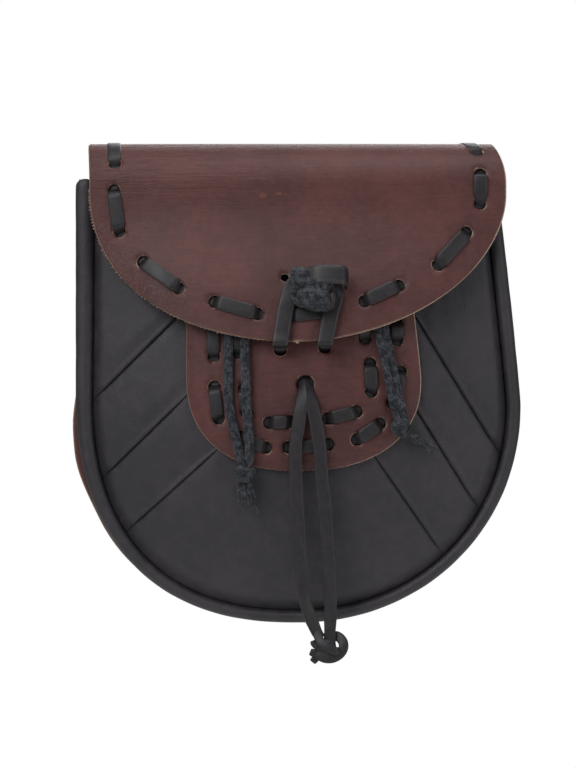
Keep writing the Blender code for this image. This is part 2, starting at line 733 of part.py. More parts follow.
def make_front_panel(material):
    """Build the domed front: each row runs from the left edge over the core to the right edge."""
    rows = pleat_rows()
    left_x, left_drop = panel_half(BODY[0], CORE[0], rows[:, 0], rows[:, 1])
    right_x, right_drop = panel_half(BODY[1], CORE[1], rows[:, 2], rows[:, 3])
    middle = np.linspace(0.0, 1.0, PANEL_MIDDLE_COLUMNS + 2)[1:-1]
    centre_x = mix(left_x[:, -1:], right_x[:, -1:], middle)
    centre_drop = mix(left_drop[:, -1:], right_drop[:, -1:], middle)
    x = np.concatenate([left_x, centre_x, right_x[:, ::-1]], axis=1)
    drop = np.concatenate([left_drop, centre_drop, right_drop[:, ::-1]], axis=1)
    drop[0] = 0.0
    x[-1] = 0.0
    drop[-1] = (drop[-1] + drop[-1, ::-1]) / 2
    across = np.concatenate([PANEL_COLUMNS, np.ones(PANEL_MIDDLE_COLUMNS), PANEL_COLUMNS[::-1]])
    at_seam = mix(PLEAT_SEAM_SHARE, 1.0, smooth(across / PLEAT_SEAM_REACH))
    fade = smooth((PLEAT_REACH - across) / PLEAT_FADE) * at_seam
    tuck = PANEL_TUCK * (1.0 - smooth(across / TUCK_REACH))
    relief = PLEAT_HEIGHT * rows[:, 4:] * fade - tuck
    forward = FRONT + dome(x, drop, BINDING_WIDTH) + relief
    outer = place(x, forward, drop)
    inner = place(x, forward - PANEL_WALL, drop)
    return closed_sheet("front_panel", outer, inner, material, seam_at_foot=True)


def make_gusset(material):
    """Build the U-shaped wall between the back panel and the binding."""
    grids = []
    for wall in (0.0, GUSSET_WALL):
        columns = []
        for share in np.linspace(0.0, 1.0, GUSSET_COLUMNS):
            bow = GUSSET_BOW * np.sin(np.pi * share)
            x, drop = chain(BODY, GUSSET_ROWS, GUSSET_INSET - bow + wall)
            columns.append(place(x, GUSSET_BACK + GUSSET_DEPTH * share, drop))
        grids.append(np.stack(columns, axis=1))
    return closed_sheet("gusset", grids[0], grids[1], material)


def make_binding(material):
    """Build the rounded binding round the front edge, with narrower ends at the mouth."""
    half_width = binding_width(np.linspace(0.0, 1.0, BINDING_ROWS)) / 2
    middle_x, middle_drop = chain(BODY, BINDING_ROWS, half_width)
    ends = np.ones(len(middle_x))
    ends[[0, -1]] = BINDING_END_SHARES[0]
    ends[[1, -2]] = BINDING_END_SHARES[1]
    loops = []
    for angle in np.linspace(0.0, 2 * np.pi, BINDING_SIDES, endpoint=False):
        x, drop = chain(BODY, BINDING_ROWS, half_width * (1.0 - np.cos(angle)))
        forward = BINDING_MIDDLE + BINDING_DEPTH / 2 * np.sin(angle) * ends
        loops.append(place(mix(middle_x, x, ends), forward, mix(middle_drop, drop, ends)))
    return ring_body("edge_binding", np.stack(loops, axis=1), material)


def make_wrap(material):
    """Build the back panel, the roll and the flap as one piece, with its lace holes."""
    back_height = BACK[0].height
    straight = BACK[0].straight_share * back_height
    turn = np.radians(np.linspace(LAST_TURN, 0.0, 8))
    back_drops = list(straight + (back_height - straight) * np.sin(turn))
    back_drops += list(np.linspace(straight, ROLL_DROP + SHOULDER_BLEND, 4)[1:])
    back_drops += [ROLL_DROP + SHOULDER_BLEND / 2]
    stations = [-90.0 - (drop - ROLL_DROP) for drop in back_drops]
    stations += list(np.linspace(-90.0, 90.0, 13))
    turn = np.radians(np.linspace(8.0, LAST_TURN, 11))
    stations += list(flap_station(ROLL_DROP + (FLAP_DROP - ROLL_DROP) * np.sin(turn)))
    stations = np.array(stations)
    reaches = np.array([wrap_edges(station) for station in stations])
    columns = edge_dense(15)
    x = mix(-reaches[:, :1], reaches[:, 1:], columns)
    middle, outward = frame_at(wrap_middle, x, np.broadcast_to(stations[:, None], x.shape))
    outer = middle + outward * WRAP_WALL / 2
    inner = middle - outward * WRAP_WALL / 2
    wrap = closed_sheet("back_and_flap", outer, inner, material)
    holes = [position for stitch in flap_stitches() for position in stitch]
    x, station = np.array(holes).T
    centres, directions = frame_at(wrap_middle, x, station)
    punch(wrap, centres, directions, HOLE_DIAMETER)
    return wrap


def make_bib(material):
    """Build the tab on the front, with the holes of its laces, its thongs and its closure."""
    straight = BIB[0].straight_share * BIB_HEIGHT
    drops = list(np.linspace(0.0, straight, 3))
    turn = np.radians(np.linspace(12.0, LAST_TURN, 8))
    drops += list(straight + (BIB_HEIGHT - straight) * np.sin(turn))
    drops = np.array(drops)
    left = reach_at(BIB[0], drops)
    right = reach_at(BIB[1], drops)
    columns = edge_dense(12)
    x = mix(-left[:, None], right[:, None], columns)
    middle, outward = frame_at(bib_middle, x, np.broadcast_to(drops[:, None], x.shape))
    outer = middle + outward * BIB_WALL / 2
    inner = middle - outward * BIB_WALL / 2
    bib = closed_sheet("bib", outer, inner, material)
    stitches = stitch_places(BIB, BIB_OUTER_STITCHES + BIB_INNER_STITCHES)
    holes = [position for stitch in stitches for position in stitch]
    holes.append(front_place(CLOSURE_LEFT_HOLE, BIB_RIGHT_REACH, BIB_HEIGHT))
    holes.append(front_place(CLOSURE_RIGHT_HOLE, BIB_RIGHT_REACH, BIB_HEIGHT))
    x, drop = np.array(holes).T
    centres, directions = frame_at(bib_middle, x, drop)
    punch(bib, centres, directions, HOLE_DIAMETER)
    x, drop = front_place(CENTRE_HOLE, BIB_RIGHT_REACH, BIB_HEIGHT)
    centre, direction = frame_at(bib_middle, x, drop)
    punch(bib, [centre], [direction], CENTRE_HOLE_DIAMETER)
    return bib


def smooth_route(route, spacing):
    """Read evenly spaced points from a smooth curve through a route's own points."""
    points = place(*np.array(route).T)
    padded = np.concatenate([2 * points[:1] - points[1:2], points, 2 * points[-1:] - points[-2:-1]])
    share = np.linspace(0.0, 1.0, 20, endpoint=False)[:, None]
    pieces = []
    for before, start, end, after in zip(padded, padded[1:], padded[2:], padded[3:]):
        slope_in = (end - before) / 2
        slope_out = (after - start) / 2
        eased = smooth(share)
        leaving = share * (1.0 - share) ** 2
        arriving = share**2 * (share - 1.0)
        pieces.append(mix(start, end, eased) + leaving * slope_in + arriving * slope_out)
    curve = np.concatenate(pieces + [points[-1:]])
    travel = np.concatenate([[0.0], np.cumsum(np.linalg.norm(np.diff(curve, axis=0), axis=1))])
    even = np.linspace(0.0, travel[-1], int(np.ceil(travel[-1] / spacing)) + 1)
    return np.column_stack([np.interp(even, travel, curve[:, axis]) for axis in range(3)])


def make_cord(name, route, diameter, material):
    """Build a free cord as a round tube along its route."""
    points = smooth_route(route, diameter * ROUTE_STEP_DIAMETERS) * TO_METRES
    curve = bpy.data.curves.new(name, "CURVE")
    curve.dimensions = "3D"
    spline = curve.splines.new("POLY")
    spline.points.add(len(points) - 1)
    for target, point in zip(spline.points, points):
        target.co = (*point, 1.0)
    curve.bevel_depth = diameter / 2 * TO_METRES
    curve.bevel_resolution = 2
    curve.use_fill_caps = True
    curve.materials.append(material)
    bpy.context.collection.objects.link(bpy.data.objects.new(name, curve))


def make_tied_knot(name, centre, radii, tails, material):
    """Build a lumpy knot with flat tails joined to it."""
    knot = lumpy_ball(name, place(*centre), radii, material)
    for number, tail in enumerate(tails):
        points = place(*np.array(tail).T)
        sides = np.cross(np.diff(points, axis=0), (0.0, 1.0, 0.0))
        sides = np.concatenate([sides, sides[-1:]])
        widths = TAIL_WIDTH * np.array(TAIL_WIDTH_SHARES)
        flat = strap(f"{name}_tail_{number}", points, sides, widths, TAIL_THICKNESS, material)
        combine(knot, flat, "UNION")
    return knot


def make_lace(name, surface, wall, stitches, material):
    points, sides, widths = lace_path(surface, wall, stitches)
    return strap(name, points, sides, widths, LACE_THICKNESS, material)


def make_button(material):
    """Build the knot button: a neck that the closure goes round, under a lumpy head."""
    x, drop = front_place(BUTTON_PLACE, FLAP_REACH, FLAP_DROP)
    centre, outward = frame_at(wrap_middle, x, flap_station(drop))
    base = centre + outward * (WRAP_WALL / 2 + GAP)
    across = unit(np.cross(outward, (0.0, 0.0, 1.0)))
    up = np.cross(across, outward)
    around = np.linspace(0.0, 2 * np.pi, BUTTON_SIDES, endpoint=False)
    circle = np.cos(around)[:, None] * across + np.sin(around)[:, None] * up
    lobes = BUTTON_LOBE_DEPTH * np.cos(BUTTON_LOBES * around + BUTTON_LOBE_TURN)
    rings = [base + circle * BUTTON_NECK_RADIUS, base + outward * BUTTON_NECK + circle * BUTTON_NECK_RADIUS]
    for ring in BUTTON_RINGS:
        height = BUTTON_NECK + BUTTON_HEAD * ring.height_share
        radius = BUTTON_RADIUS * ring.radius_share * (1.0 + lobes * ring.lobe_share)
        rings.append(base + outward * height + circle * radius[:, None])
    return ring_body("knot_button", np.array(rings), material)


def closure_leg(hole, side, top_x):
    """List one leg's surfaces and places on them, from behind the bib up to beside the button."""
    x, drop = front_place(hole, BIB_RIGHT_REACH, BIB_HEIGHT)
    rim = flap_station(FLAP_DROP)
    under = BIB_WALL / 2 + LACE_LEVEL
    over_lace = WRAP_WALL / 2 + 3 * LACE_LEVEL
    across = (side, 0.0, 0.0)
    places = [(bib_middle, x, drop, -under, across), (bib_middle, x, drop, under, across)]
    for step in CLOSURE_STEPS:
        places.append((wrap_middle, mix(x, top_x, step.lean), rim - step.above_rim, over_lace, across))
    button_drop = front_place(BUTTON_PLACE, FLAP_REACH, FLAP_DROP)[1]
    places.append((wrap_middle, top_x, flap_station(button_drop) + CLOSURE_LEG_END, over_lace, across))
    return places


def make_closure(material):
    """Build the strap from two holes of the bib, up over the flap's rim and round the button's neck."""
    button_x, button_drop = front_place(BUTTON_PLACE, FLAP_REACH, FLAP_DROP)
    turn_radius = BUTTON_NECK_RADIUS + CLOSURE_WIDTH / 2 + 4 * GAP
    round_neck = WRAP_WALL / 2 + LACE_LEVEL + 3 * GAP
    places = closure_leg(CLOSURE_LEFT_HOLE, -1.0, button_x - turn_radius)
    for angle in np.radians(CLOSURE_TURN):
        x = button_x + turn_radius * np.cos(angle)
        station = flap_station(button_drop) - turn_radius * np.sin(angle)
        across = (np.cos(angle), 0.0, np.sin(angle))
        places.append((wrap_middle, x, station, round_neck, across))
    places += reversed(closure_leg(CLOSURE_RIGHT_HOLE, 1.0, button_x + turn_radius))
    points = []
    sides = []
    for surface, x, along, level, across in places:
        point, outward = frame_at(surface, x, along)
        points.append(point + outward * level)
        sides.append(across)
    widths = np.full(len(points), CLOSURE_WIDTH)
    widths[[0, 1, -2, -1]] = HOLE_LACE_WIDTH
    return strap("closure_loop", np.array(points), np.array(sides), widths, LACE_THICKNESS, material)


def make_belt_loop(name, side, material):
    """Build one loop on the back: two flat feet and a raised middle that the belt goes through."""
    rest = -(BACK_FACE - GAP - LOOP_WALL / 2)
    raised = BELT_ROOM / 2 + LOOP_WALL / 2
    half = LOOP_CLEAR_HEIGHT / 2
    profile = np.array([
        (rest, -half - LOOP_FOOT),
        (rest, -half),
        (raised, -half + LOOP_RISE),
        (raised, half - LOOP_RISE),
        (rest, half),
        (rest, half + LOOP_FOOT),
    ])
    points = np.column_stack([np.full(len(profile), side * LOOP_SPREAD), profile])
    sides = np.tile((1.0, 0.0, 0.0), (len(profile), 1))
    return strap(name, points, sides, np.full(len(profile), LOOP_WIDTH), LOOP_WALL, material)


def main():
    clear_scene()
    brown = leather("burgundy_leather", (0.095, 0.045, 0.045), 0.55)
    black = leather("black_leather", (0.035, 0.033, 0.037), 0.5)
    lace = leather("black_lace", (0.025, 0.025, 0.028), 0.45)
    suede = leather("suede_cord", (0.03, 0.033, 0.04), 0.9)
    make_wrap(brown)
    make_front_panel(black)
    make_gusset(black)
    make_binding(black)
    make_bib(brown)
    make_lace("flap_lace", wrap_middle, WRAP_WALL, flap_stitches(), lace)
    make_lace("bib_outer_lace", bib_middle, BIB_WALL, stitch_places(BIB, BIB_OUTER_STITCHES), lace)
    make_lace("bib_inner_lace", bib_middle, BIB_WALL, stitch_places(BIB, BIB_INNER_STITCHES), lace)
    make_button(lace)
    make_closure(lace)
    make_cord("thong_left", THONG_LEFT_ROUTE, THONG_DIAMETER, lace)
    make_cord("thong_right", THONG_RIGHT_ROUTE, THONG_DIAMETER, lace)
    make_tied_knot("thong_knot", THONG_KNOT, THONG_KNOT_RADII, (), lace)
    make_cord("cord_left_a", CORD_LEFT_A_ROUTE, CORD_DIAMETER, suede)
    make_cord("cord_left_b", CORD_LEFT_B_ROUTE, CORD_DIAMETER, suede)
    make_tied_knot("cord_left_knot", CORD_LEFT_KNOT, CORD_KNOT_RADII, CORD_LEFT_TAILS, suede)
    make_cord("cord_right_a", CORD_RIGHT_A_ROUTE, CORD_DIAMETER, suede)
    make_cord("cord_right_b", CORD_RIGHT_B_ROUTE, CORD_DIAMETER, suede)
    make_tied_knot("cord_right_knot", CORD_RIGHT_KNOT, CORD_KNOT_RADII, CORD_RIGHT_TAILS, suede)
    make_belt_loop("belt_loop_left", -1, brown)
    make_belt_loop("belt_loop_right", 1, brown)


main()
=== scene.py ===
"""The looks of a leather belt pouch: fine leather walls, laces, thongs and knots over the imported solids.

Sizes are in millimetres, and TO_METRES turns them into metres when a mesh is made. "Forward" is a
distance in front of the belt's middle, and "drop" a distance below the shoulder, the top corner of
the side wall. A station on the wrap is an angle of the roll from -90 at the back to 90 at the front,
and past those it goes on as millimetres down the back or down the flap.
"""

from collections import namedtuple

import bpy
import numpy as np
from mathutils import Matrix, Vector


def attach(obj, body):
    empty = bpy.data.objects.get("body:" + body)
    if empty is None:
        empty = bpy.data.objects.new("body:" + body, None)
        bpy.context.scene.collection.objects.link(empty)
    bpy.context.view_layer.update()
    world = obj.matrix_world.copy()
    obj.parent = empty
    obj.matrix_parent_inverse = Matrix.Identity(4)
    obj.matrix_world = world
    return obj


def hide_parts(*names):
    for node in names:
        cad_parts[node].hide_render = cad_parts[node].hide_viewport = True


TO_METRES = 0.001
GAP = 0.3
SHOULDER_Z = 23.0

# The camera looks straight at the front, and its frame is this high at the pouch's middle depth.
VIEW_CENTRE = (-4.7, -50.0, -67.0)
VIEW_HEIGHT = 345.6
VIEW_DISTANCE = 1600.0
SENSOR = 36.0
FLOOR_Z = -300.0
FLOOR_CORNERS = ((-700, -650), (700, -650), (700, 470), (-700, 470))

# Four soft lamps, in metres and watts, that all look at one place on the pouch.
Lamp = namedtuple("Lamp", "name where size power")
LAMPS = (
    Lamp("key_light", (-0.75, -1.15, 0.75), (0.8, 0.8), 14.2),
    Lamp("top_light", (0.05, -0.25, 1.1), (0.9, 0.5), 7.5),
    Lamp("right_fill", (1.1, -0.9, 0.1), (0.7, 0.9), 4.4),
    Lamp("back_fill", (0.2, 1.3, 0.5), (0.9, 0.9), 11.0),
)
LAMP_AIM = (0.0, -0.03, -0.07)
CLIP_END = 20.0
WORLD_STRENGTH = 0.25
WORLD_STRENGTH_SEEN = 1.0

BELT_ROOM = 8.0
LOOP_WIDTH = 22.0
LOOP_WALL = 2.4
LOOP_CLEAR_HEIGHT = 46.0
LOOP_FOOT = 13.0
LOOP_RISE = 7.0
LOOP_SPREAD = 52.0
LOOP_CORNER = 4.0
LOOP_NARROWING = 0.28

WRAP_WALL = 2.4
PANEL_WALL = 2.0
GUSSET_WALL = 1.8
BIB_WALL = 2.2

BODY_HEIGHT = 198.0
BODY_LEFT_REACH = 100.8
BODY_RIGHT_REACH = 100.6
MOUTH_TAPER = 10.5
BACK_OVERHANG = 0.6
BACK_BULGE = 2.9
BULGE_TOP = 80.0
BULGE_FOOT = 152.0
BULGE_EASE = 30.0
LEFT_CORNER_RISE = 2.8
CORNER_RUN = 16.0
GUSSET_DEPTH = 30.0
GUSSET_INSET = 0.9
GUSSET_BOW = 0.8
GUSSET_TUCK = 0.85
BINDING_WIDTH = 7.6
BINDING_SIDE_WIDTHS = (8.6, 6.8)
BINDING_FOOT_WIDTH = 5.8
BINDING_DEPTH = 7.2
BINDING_END = 2.6
DOME_HEIGHT = 15.0
PLEAT_HEIGHT = 1.0
PANEL_TUCK = 2.6
CORE_REACH = 45.0
CORE_HEIGHT = 122.0

FLAP_REACH = 93.6
FLAP_DROP = 71.0
FLAP_STAND = 2.2
FLAP_SPREAD = 9.0
FLAP_LIFT_MARGIN = 4.0
FLAP_LIFT_RUN = 44.0
FLAP_LIFT_SPREAD = 26.0
FLAP_LEFT_EXTRA = 0.5
ROLL_HEIGHT = 18.2
CREST_LEFT_REACH = 95.5
CREST_RIGHT_REACH = 88.6
SHOULDER_BLEND = 10.0

BIB_LEFT_REACH = 50.2
BIB_RIGHT_REACH = 54.9
BIB_TAPER = 3.2
BIB_HEIGHT = 72.2
BIB_TUCK = 14.3
BIB_STAND = 2.1
BIB_RIM_STAND = 0.8
BIB_RIM_START = 0.9

FLAP_LACE_WIDTH = 6.2
BIB_LACE_WIDTH = 5.8
LACE_THICKNESS = 1.3
LACE_CLEARANCE = 0.4
LACE_STAND = 0.68
FOLD_PRESS = 0.95
FOLD_PRESS_EASE = 35.0
HOLE_DIAMETER = 5.8
HOLE_LACE_WIDTH = 5.2
WIDTH_RUN = 3.6
DIP_SHIFT = -0.9
DIP_SPAN = 1.9
LACE_END = 2.2
LACE_SWELL = 0.25
CORD_DIAMETER = 2.6
CENTRE_HOLE_DIAMETER = 8.0
THONG_WIDTH = 5.9
THONG_THICKNESS = 1.3
LEFT_CORD_WIDTH = 4.2
RIGHT_CORD_WIDTH = 3.6
CORD_THICKNESS = 2.1
LEFT_CORD_LENGTH = 63.0
RIGHT_CORD_LENGTH = 43.0
BUTTON_NECK_RADIUS = 3.4
CLOSURE_WIDTH = 7.1

BACK_FACE = BELT_ROOM / 2
BACK_MIDDLE = BACK_FACE + WRAP_WALL / 2
GUSSET_BACK = BACK_FACE + WRAP_WALL + GAP
GUSSET_FRONT = GUSSET_BACK + GUSSET_DEPTH
BINDING_MIDDLE = GUSSET_FRONT + GAP + BINDING_DEPTH / 2
FRONT = BINDING_MIDDLE + BINDING_DEPTH / 2
LACE_LEVEL = LACE_CLEARANCE + LACE_THICKNESS / 2
BIB_TOP = FLAP_DROP - BIB_TUCK
FLAP_LIFT = BIB_STAND + BIB_WALL + 2 * LACE_LEVEL + CORD_DIAMETER + 2 * GAP - FLAP_STAND

Edge = namedtuple("Edge", "side reach height straight_share roundness taper")
BODY = (
    Edge(-1, BODY_LEFT_REACH, BODY_HEIGHT, 0.457, 2.4, 0.0),
    Edge(1, BODY_RIGHT_REACH, BODY_HEIGHT, 0.503, 2.05, MOUTH_TAPER),
)
BACK = (
    Edge(-1, BODY_LEFT_REACH + BACK_OVERHANG, BODY_HEIGHT - GAP, 0.52, 2.4, BACK_OVERHANG),
    Edge(1, BODY_RIGHT_REACH - GAP, BODY_HEIGHT - GAP, 0.503, 2.05, MOUTH_TAPER),
)
FLAP = (
    Edge(-1, FLAP_REACH + FLAP_LEFT_EXTRA, FLAP_DROP, 0.04, 2.15, 0.0),
    Edge(1, FLAP_REACH, FLAP_DROP, 0.07, 1.87, 0.0),
)
BIB = (
    Edge(-1, BIB_LEFT_REACH, BIB_HEIGHT, 0.40, 2.4, 0.0),
    Edge(1, BIB_RIGHT_REACH, BIB_HEIGHT, 0.43, 2.3, BIB_TAPER),
)
CORE = (
    Edge(-1, CORE_REACH, CORE_HEIGHT, 0.66, 2.1, 0.0),
    Edge(1, CORE_REACH, CORE_HEIGHT, 0.66, 2.1, 0.0),
)
LEAN_POWER = 1.15
DOME_POWER = 2.4
DOME_ROUNDNESS = 2.3
MOUTH_RISE = 0.4

# A pleat runs from a share of the panel's edge to a share of its core, on the left and on the right.
Pleat = namedtuple("Pleat", "left_edge left_core right_edge right_core")
PLEATS = (
    Pleat(0.376, 0.34, 0.486, 0.32),
    Pleat(0.520, 0.60, 0.596, 0.59),
    Pleat(0.630, 0.79, 0.704, 0.80),
)
CORE_SPREAD = 0.7
PLEAT_START = -13.5
PLEAT_END = 8.0
PLEAT_LIP = 0.22
PLEAT_CREST = 0.4
PLEAT_VALLEY = -1.0
PLEAT_RETURN = 2.4
PLEAT_RISE = 1.5
PLEAT_DIP = 0.95
PLEAT_REACH = 1.0
PLEAT_FADE = 0.3
PLEAT_SEAM_SHARE = 0.5
PLEAT_SEAM_REACH = 0.14
TUCK_REACH = 0.10

# A visible stitch between two holes, each a share of the edge on its side and an inset from it.
Stitch = namedtuple("Stitch", "start_side start_share start_inset end_side end_share end_inset")
FLAP_STITCHES = (
    Stitch(0, 0.356, 11.7, 0, 0.537, 12.0),
    Stitch(0, 0.686, 12.6, 0, 0.852, 11.2),
    Stitch(0, 0.970, 11.2, 1, 0.876, 12.2),
    Stitch(1, 0.739, 13.2, 1, 0.592, 14.0),
    Stitch(1, 0.416, 12.3, 1, 0.232, 12.5),
)
BIB_OUTER_STITCHES = (
    Stitch(0, 0.052, 12.2, 0, 0.197, 12.2),
    Stitch(0, 0.340, 12.4, 0, 0.525, 9.9),
    Stitch(0, 0.686, 10.1, 0, 0.842, 9.4),
    Stitch(0, 0.956, 10.5, 1, 0.864, 11.1),
    Stitch(1, 0.721, 10.1, 1, 0.572, 10.7),
    Stitch(1, 0.424, 11.2, 1, 0.250, 8.9),
    Stitch(1, 0.117, 9.1, 1, 0.041, 8.6),
)
BIB_INNER_STITCHES = (
    Stitch(0, 0.064, 23.4, 0, 0.184, 23.4),
    Stitch(0, 0.376, 25.5, 0, 0.638, 21.1),
    Stitch(0, 0.836, 20.6, 0, 0.963, 22.1),
    Stitch(1, 0.842, 22.6, 1, 0.649, 21.4),
    Stitch(1, 0.384, 21.9, 1, 0.204, 22.2),
    Stitch(1, 0.096, 23.3, 1, 0.026, 22.7),
)
FoldHole = namedtuple("FoldHole", "reach_share station")
LEFT_BACK_HOLE = FoldHole(-0.905, -38.0)
LEFT_FOLD_HOLE = FoldHole(-0.884, 60.0)
LEFT_TOP_HOLE = FoldHole(-0.887, 93.0)
LEFT_TOP_END = Stitch(0, 0.195, 10.3, 0, 0.195, 10.3)
RIGHT_TOP_START = Stitch(1, 0.082, 11.6, 1, 0.082, 11.6)
RIGHT_TOP_HOLE = FoldHole(0.875, 75.5)
RIGHT_FOLD_HOLE = FoldHole(0.864, 38.0)
RIGHT_BACK_HOLE = FoldHole(0.780, -36.0)
# A bare hole in the flap beside the knot: its x, station and radius.
BARE_HOLE = (-6.1, 132.6)
BARE_HOLE_RADIUS = 1.9

FrontPlace = namedtuple("FrontPlace", "reach_share drop_share")
CENTRE_HOLE = FrontPlace(0.055, 0.460)
CLOSURE_LEFT_HOLE = FrontPlace(-0.148, 0.250)
CLOSURE_RIGHT_HOLE = FrontPlace(0.213, 0.235)
BUTTON_PLACE = FrontPlace(0.069, 0.655)
ClosureStep = namedtuple("ClosureStep", "above_rim lean")
CLOSURE_STEPS = (ClosureStep(-1.9, 0.0), ClosureStep(3.0, 0.15), ClosureStep(12.0, 0.5))
CLOSURE_LEG_END = 7.0
CLOSURE_LEG_LEAN = 0.8
CLOSURE_HALF_WIDTH = 10.5
CLOSURE_HALF_HEIGHT = 6.6
CLOSURE_TURN = (180.0, 145.0, 110.0, 70.0, 35.0, 0.0)

# The routes of the free thongs and cords: x, forward and drop of listed points.
THONG_LEFT_ROUTE = (
    (1.5, 62.6, 88.7),
    (1.5, 63.9, 90.2),
    (1.3, 65.3, 92.8),
    (0.5, 66.5, 97.5),
    (-1.2, 67.0, 105.0),
    (-2.2, 66.9, 116.0),
    (-1.4, 66.7, 129.0),
    (-0.2, 66.3, 151.0),
    (1.6, 65.8, 178.0),
    (3.9, 65.4, 190.0),
    (7.4, 65.1, 199.0),
    (8.7, 65.0, 201.6),
)
THONG_RIGHT_ROUTE = (
    (4.6, 62.6, 88.7),
    (4.6, 63.9, 90.2),
    (4.8, 65.3, 92.8),
    (6.0, 66.5, 97.5),
    (8.2, 67.0, 105.0),
    (9.7, 66.9, 116.0),
    (10.2, 66.7, 129.0),
    (12.2, 66.3, 151.0),
    (13.8, 65.8, 178.0),
    (14.2, 65.4, 190.0),
    (13.9, 65.1, 201.4),
)
THONG_KNOT = (12.5, 65.0, 207.5)
# The turns and ends of the thongs' knot, each a route and a width.
THONG_TIES = (
    (((14.0, 65.2, 199.5), (14.0, 65.0, 203.0), (13.6, 64.6, 206.5), (12.4, 64.4, 209.5)), 5.4),
    (((13.5, 63.4, 203.6), (16.8, 63.8, 202.4), (19.5, 65.2, 204.4), (20.0, 66.2, 207.4),
      (18.4, 66.8, 210.2), (15.2, 67.0, 212.0), (11.6, 66.8, 212.0), (8.8, 66.2, 210.4),
      (7.8, 65.4, 208.0)), 4.4),
    (((8.6, 65.2, 200.4), (8.9, 66.6, 203.0), (10.8, 68.0, 205.8), (13.8, 68.6, 207.8),
      (17.0, 67.8, 209.0), (19.0, 66.0, 208.8)), 4.0),
    (((11.5, 65.6, 206.5), (8.8, 66.2, 207.2), (7.0, 65.9, 206.2), (6.2, 65.6, 204.4)), 2.6),
    (((11.5, 65.2, 208.5), (8.6, 65.9, 209.6), (6.8, 66.2, 209.8), (5.2, 66.0, 209.2)), 3.6),
    (((11.0, 64.6, 210.5), (8.6, 65.0, 211.4), (7.2, 65.2, 212.8), (6.2, 65.2, 214.0)), 3.4),
)
THONG_CORE = (4.6, 3.2, 4.2)
# A turn round a suede knot: the direction it circles, its shift that way and its width.
Wrap = namedtuple("Wrap", "axis shift width")
LEFT_WRAPS = (
    Wrap((0.25, -0.35, 1.0), 0.42, 2.5),
    Wrap((-0.55, -0.45, 0.8), -0.25, 2.7),
    Wrap((0.9, -0.5, 0.45), -0.1, 2.4),
    Wrap((-0.2, -0.6, 0.7), 0.05, 2.2),
)
RIGHT_WRAPS = (
    Wrap((-0.3, -0.4, 1.0), 0.38, 2.5),
    Wrap((0.6, -0.45, 0.7), -0.3, 2.6),
    Wrap((-0.8, -0.55, 0.4), 0.1, 2.4),
    Wrap((0.2, -0.7, 0.6), 0.0, 2.2),
)
SUEDE_KNOT_SIZE = (4.4, 3.6, 4.5)
CORE_SHARE = 0.74
WRAP_SHARE = 0.80
TURN_THICKNESS = 2.3
STRAND_WIDTH = 1.5
STRAND_THICKNESS = 0.8
STRAND_BEND = 0.55
STRAND_START = 2.2
STRAND_SPREAD = 2.4
KNOT_ENTRY = 2.2
KNOT_FIBRES = 260
BUTTON_FIBRES = 700
CORD_FIBRES = 420
TIP_FIBRES = 7
RIM_FIBRES = 700
NAP_REACH = 0.9
NAP_RADIUS = 0.09
CORD_NAP_REACH = 1.0
CORD_NAP_RADIUS = 0.075
FRAY_REACH = 2.0
FRAY_RADIUS = 0.13
RIM_FIBRE_RADIUS = 0.12
FIBRE_SAG = 0.25
FIBRE_TAPER = 0.85
KNOT_LUMPS = 0.12
THONG_KNOT_LUMPS = 0.08
CORD_START_PINCH = 0.62
CORD_END_PINCH = 0.8
PINCH_SHARE = 0.09
TIE_PINCH = 0.8
TIE_PINCH_SHARE = 0.15
STRAND_TAPER = (1.15, 0.6)
STRAND_UNEVEN = 0.25
CORD_LEFT_A_ROUTE = (
    (-31.3, 61.9, 62.5),
    (-31.3, 62.4, 67.5),
    (-31.3, 63.6, 83.7),
    (-31.1, 64.5, 98.5),
    (-29.2, 65.1, 108.5),
    (-27.3, 65.3, 116.5),
    (-25.5, 64.7, 124.8),
)
CORD_LEFT_B_ROUTE = (
    (-24.1, 63.7, 62.5),
    (-24.1, 64.1, 67.5),
    (-24.0, 64.9, 74.0),
    (-23.7, 65.9, 83.7),
    (-23.2, 66.4, 98.5),
    (-22.3, 66.4, 110.7),
    (-21.8, 65.4, 119.0),
    (-22.2, 64.7, 124.8),
)
CORD_LEFT_KNOT = (-23.8, 64.2, 129.6)
CORD_LEFT_TIPS = (
    (-27.0, 61.6, 144.0),
    (-25.6, 61.9, 142.0),
    (-24.4, 61.6, 144.6),
    (-22.4, 61.5, 145.0),
    (-20.2, 61.4, 147.0),
    (-18.0, 61.2, 148.3),
)
CORD_RIGHT_A_ROUTE = (
    (35.6, 62.4, 62.5),
    (35.6, 63.0, 67.5),
    (37.3, 63.7, 74.7),
    (39.6, 64.4, 86.0),
    (41.9, 64.6, 97.2),
    (44.0, 64.6, 104.6),
)
CORD_RIGHT_B_ROUTE = (
    (38.8, 62.2, 62.5),
    (38.9, 62.8, 67.5),
    (40.6, 63.5, 74.7),
    (42.9, 64.2, 86.0),
    (45.2, 64.5, 97.2),
    (47.3, 64.6, 104.6),
)
CORD_RIGHT_KNOT = (45.7, 64.6, 109.4)
CORD_RIGHT_TIPS = (
    (57.8, 61.0, 116.4),
    (60.4, 60.6, 118.0),
    (62.2, 60.4, 119.6),
    (59.8, 60.6, 120.8),
    (56.6, 60.9, 119.8),
    (54.0, 61.4, 118.4),
)
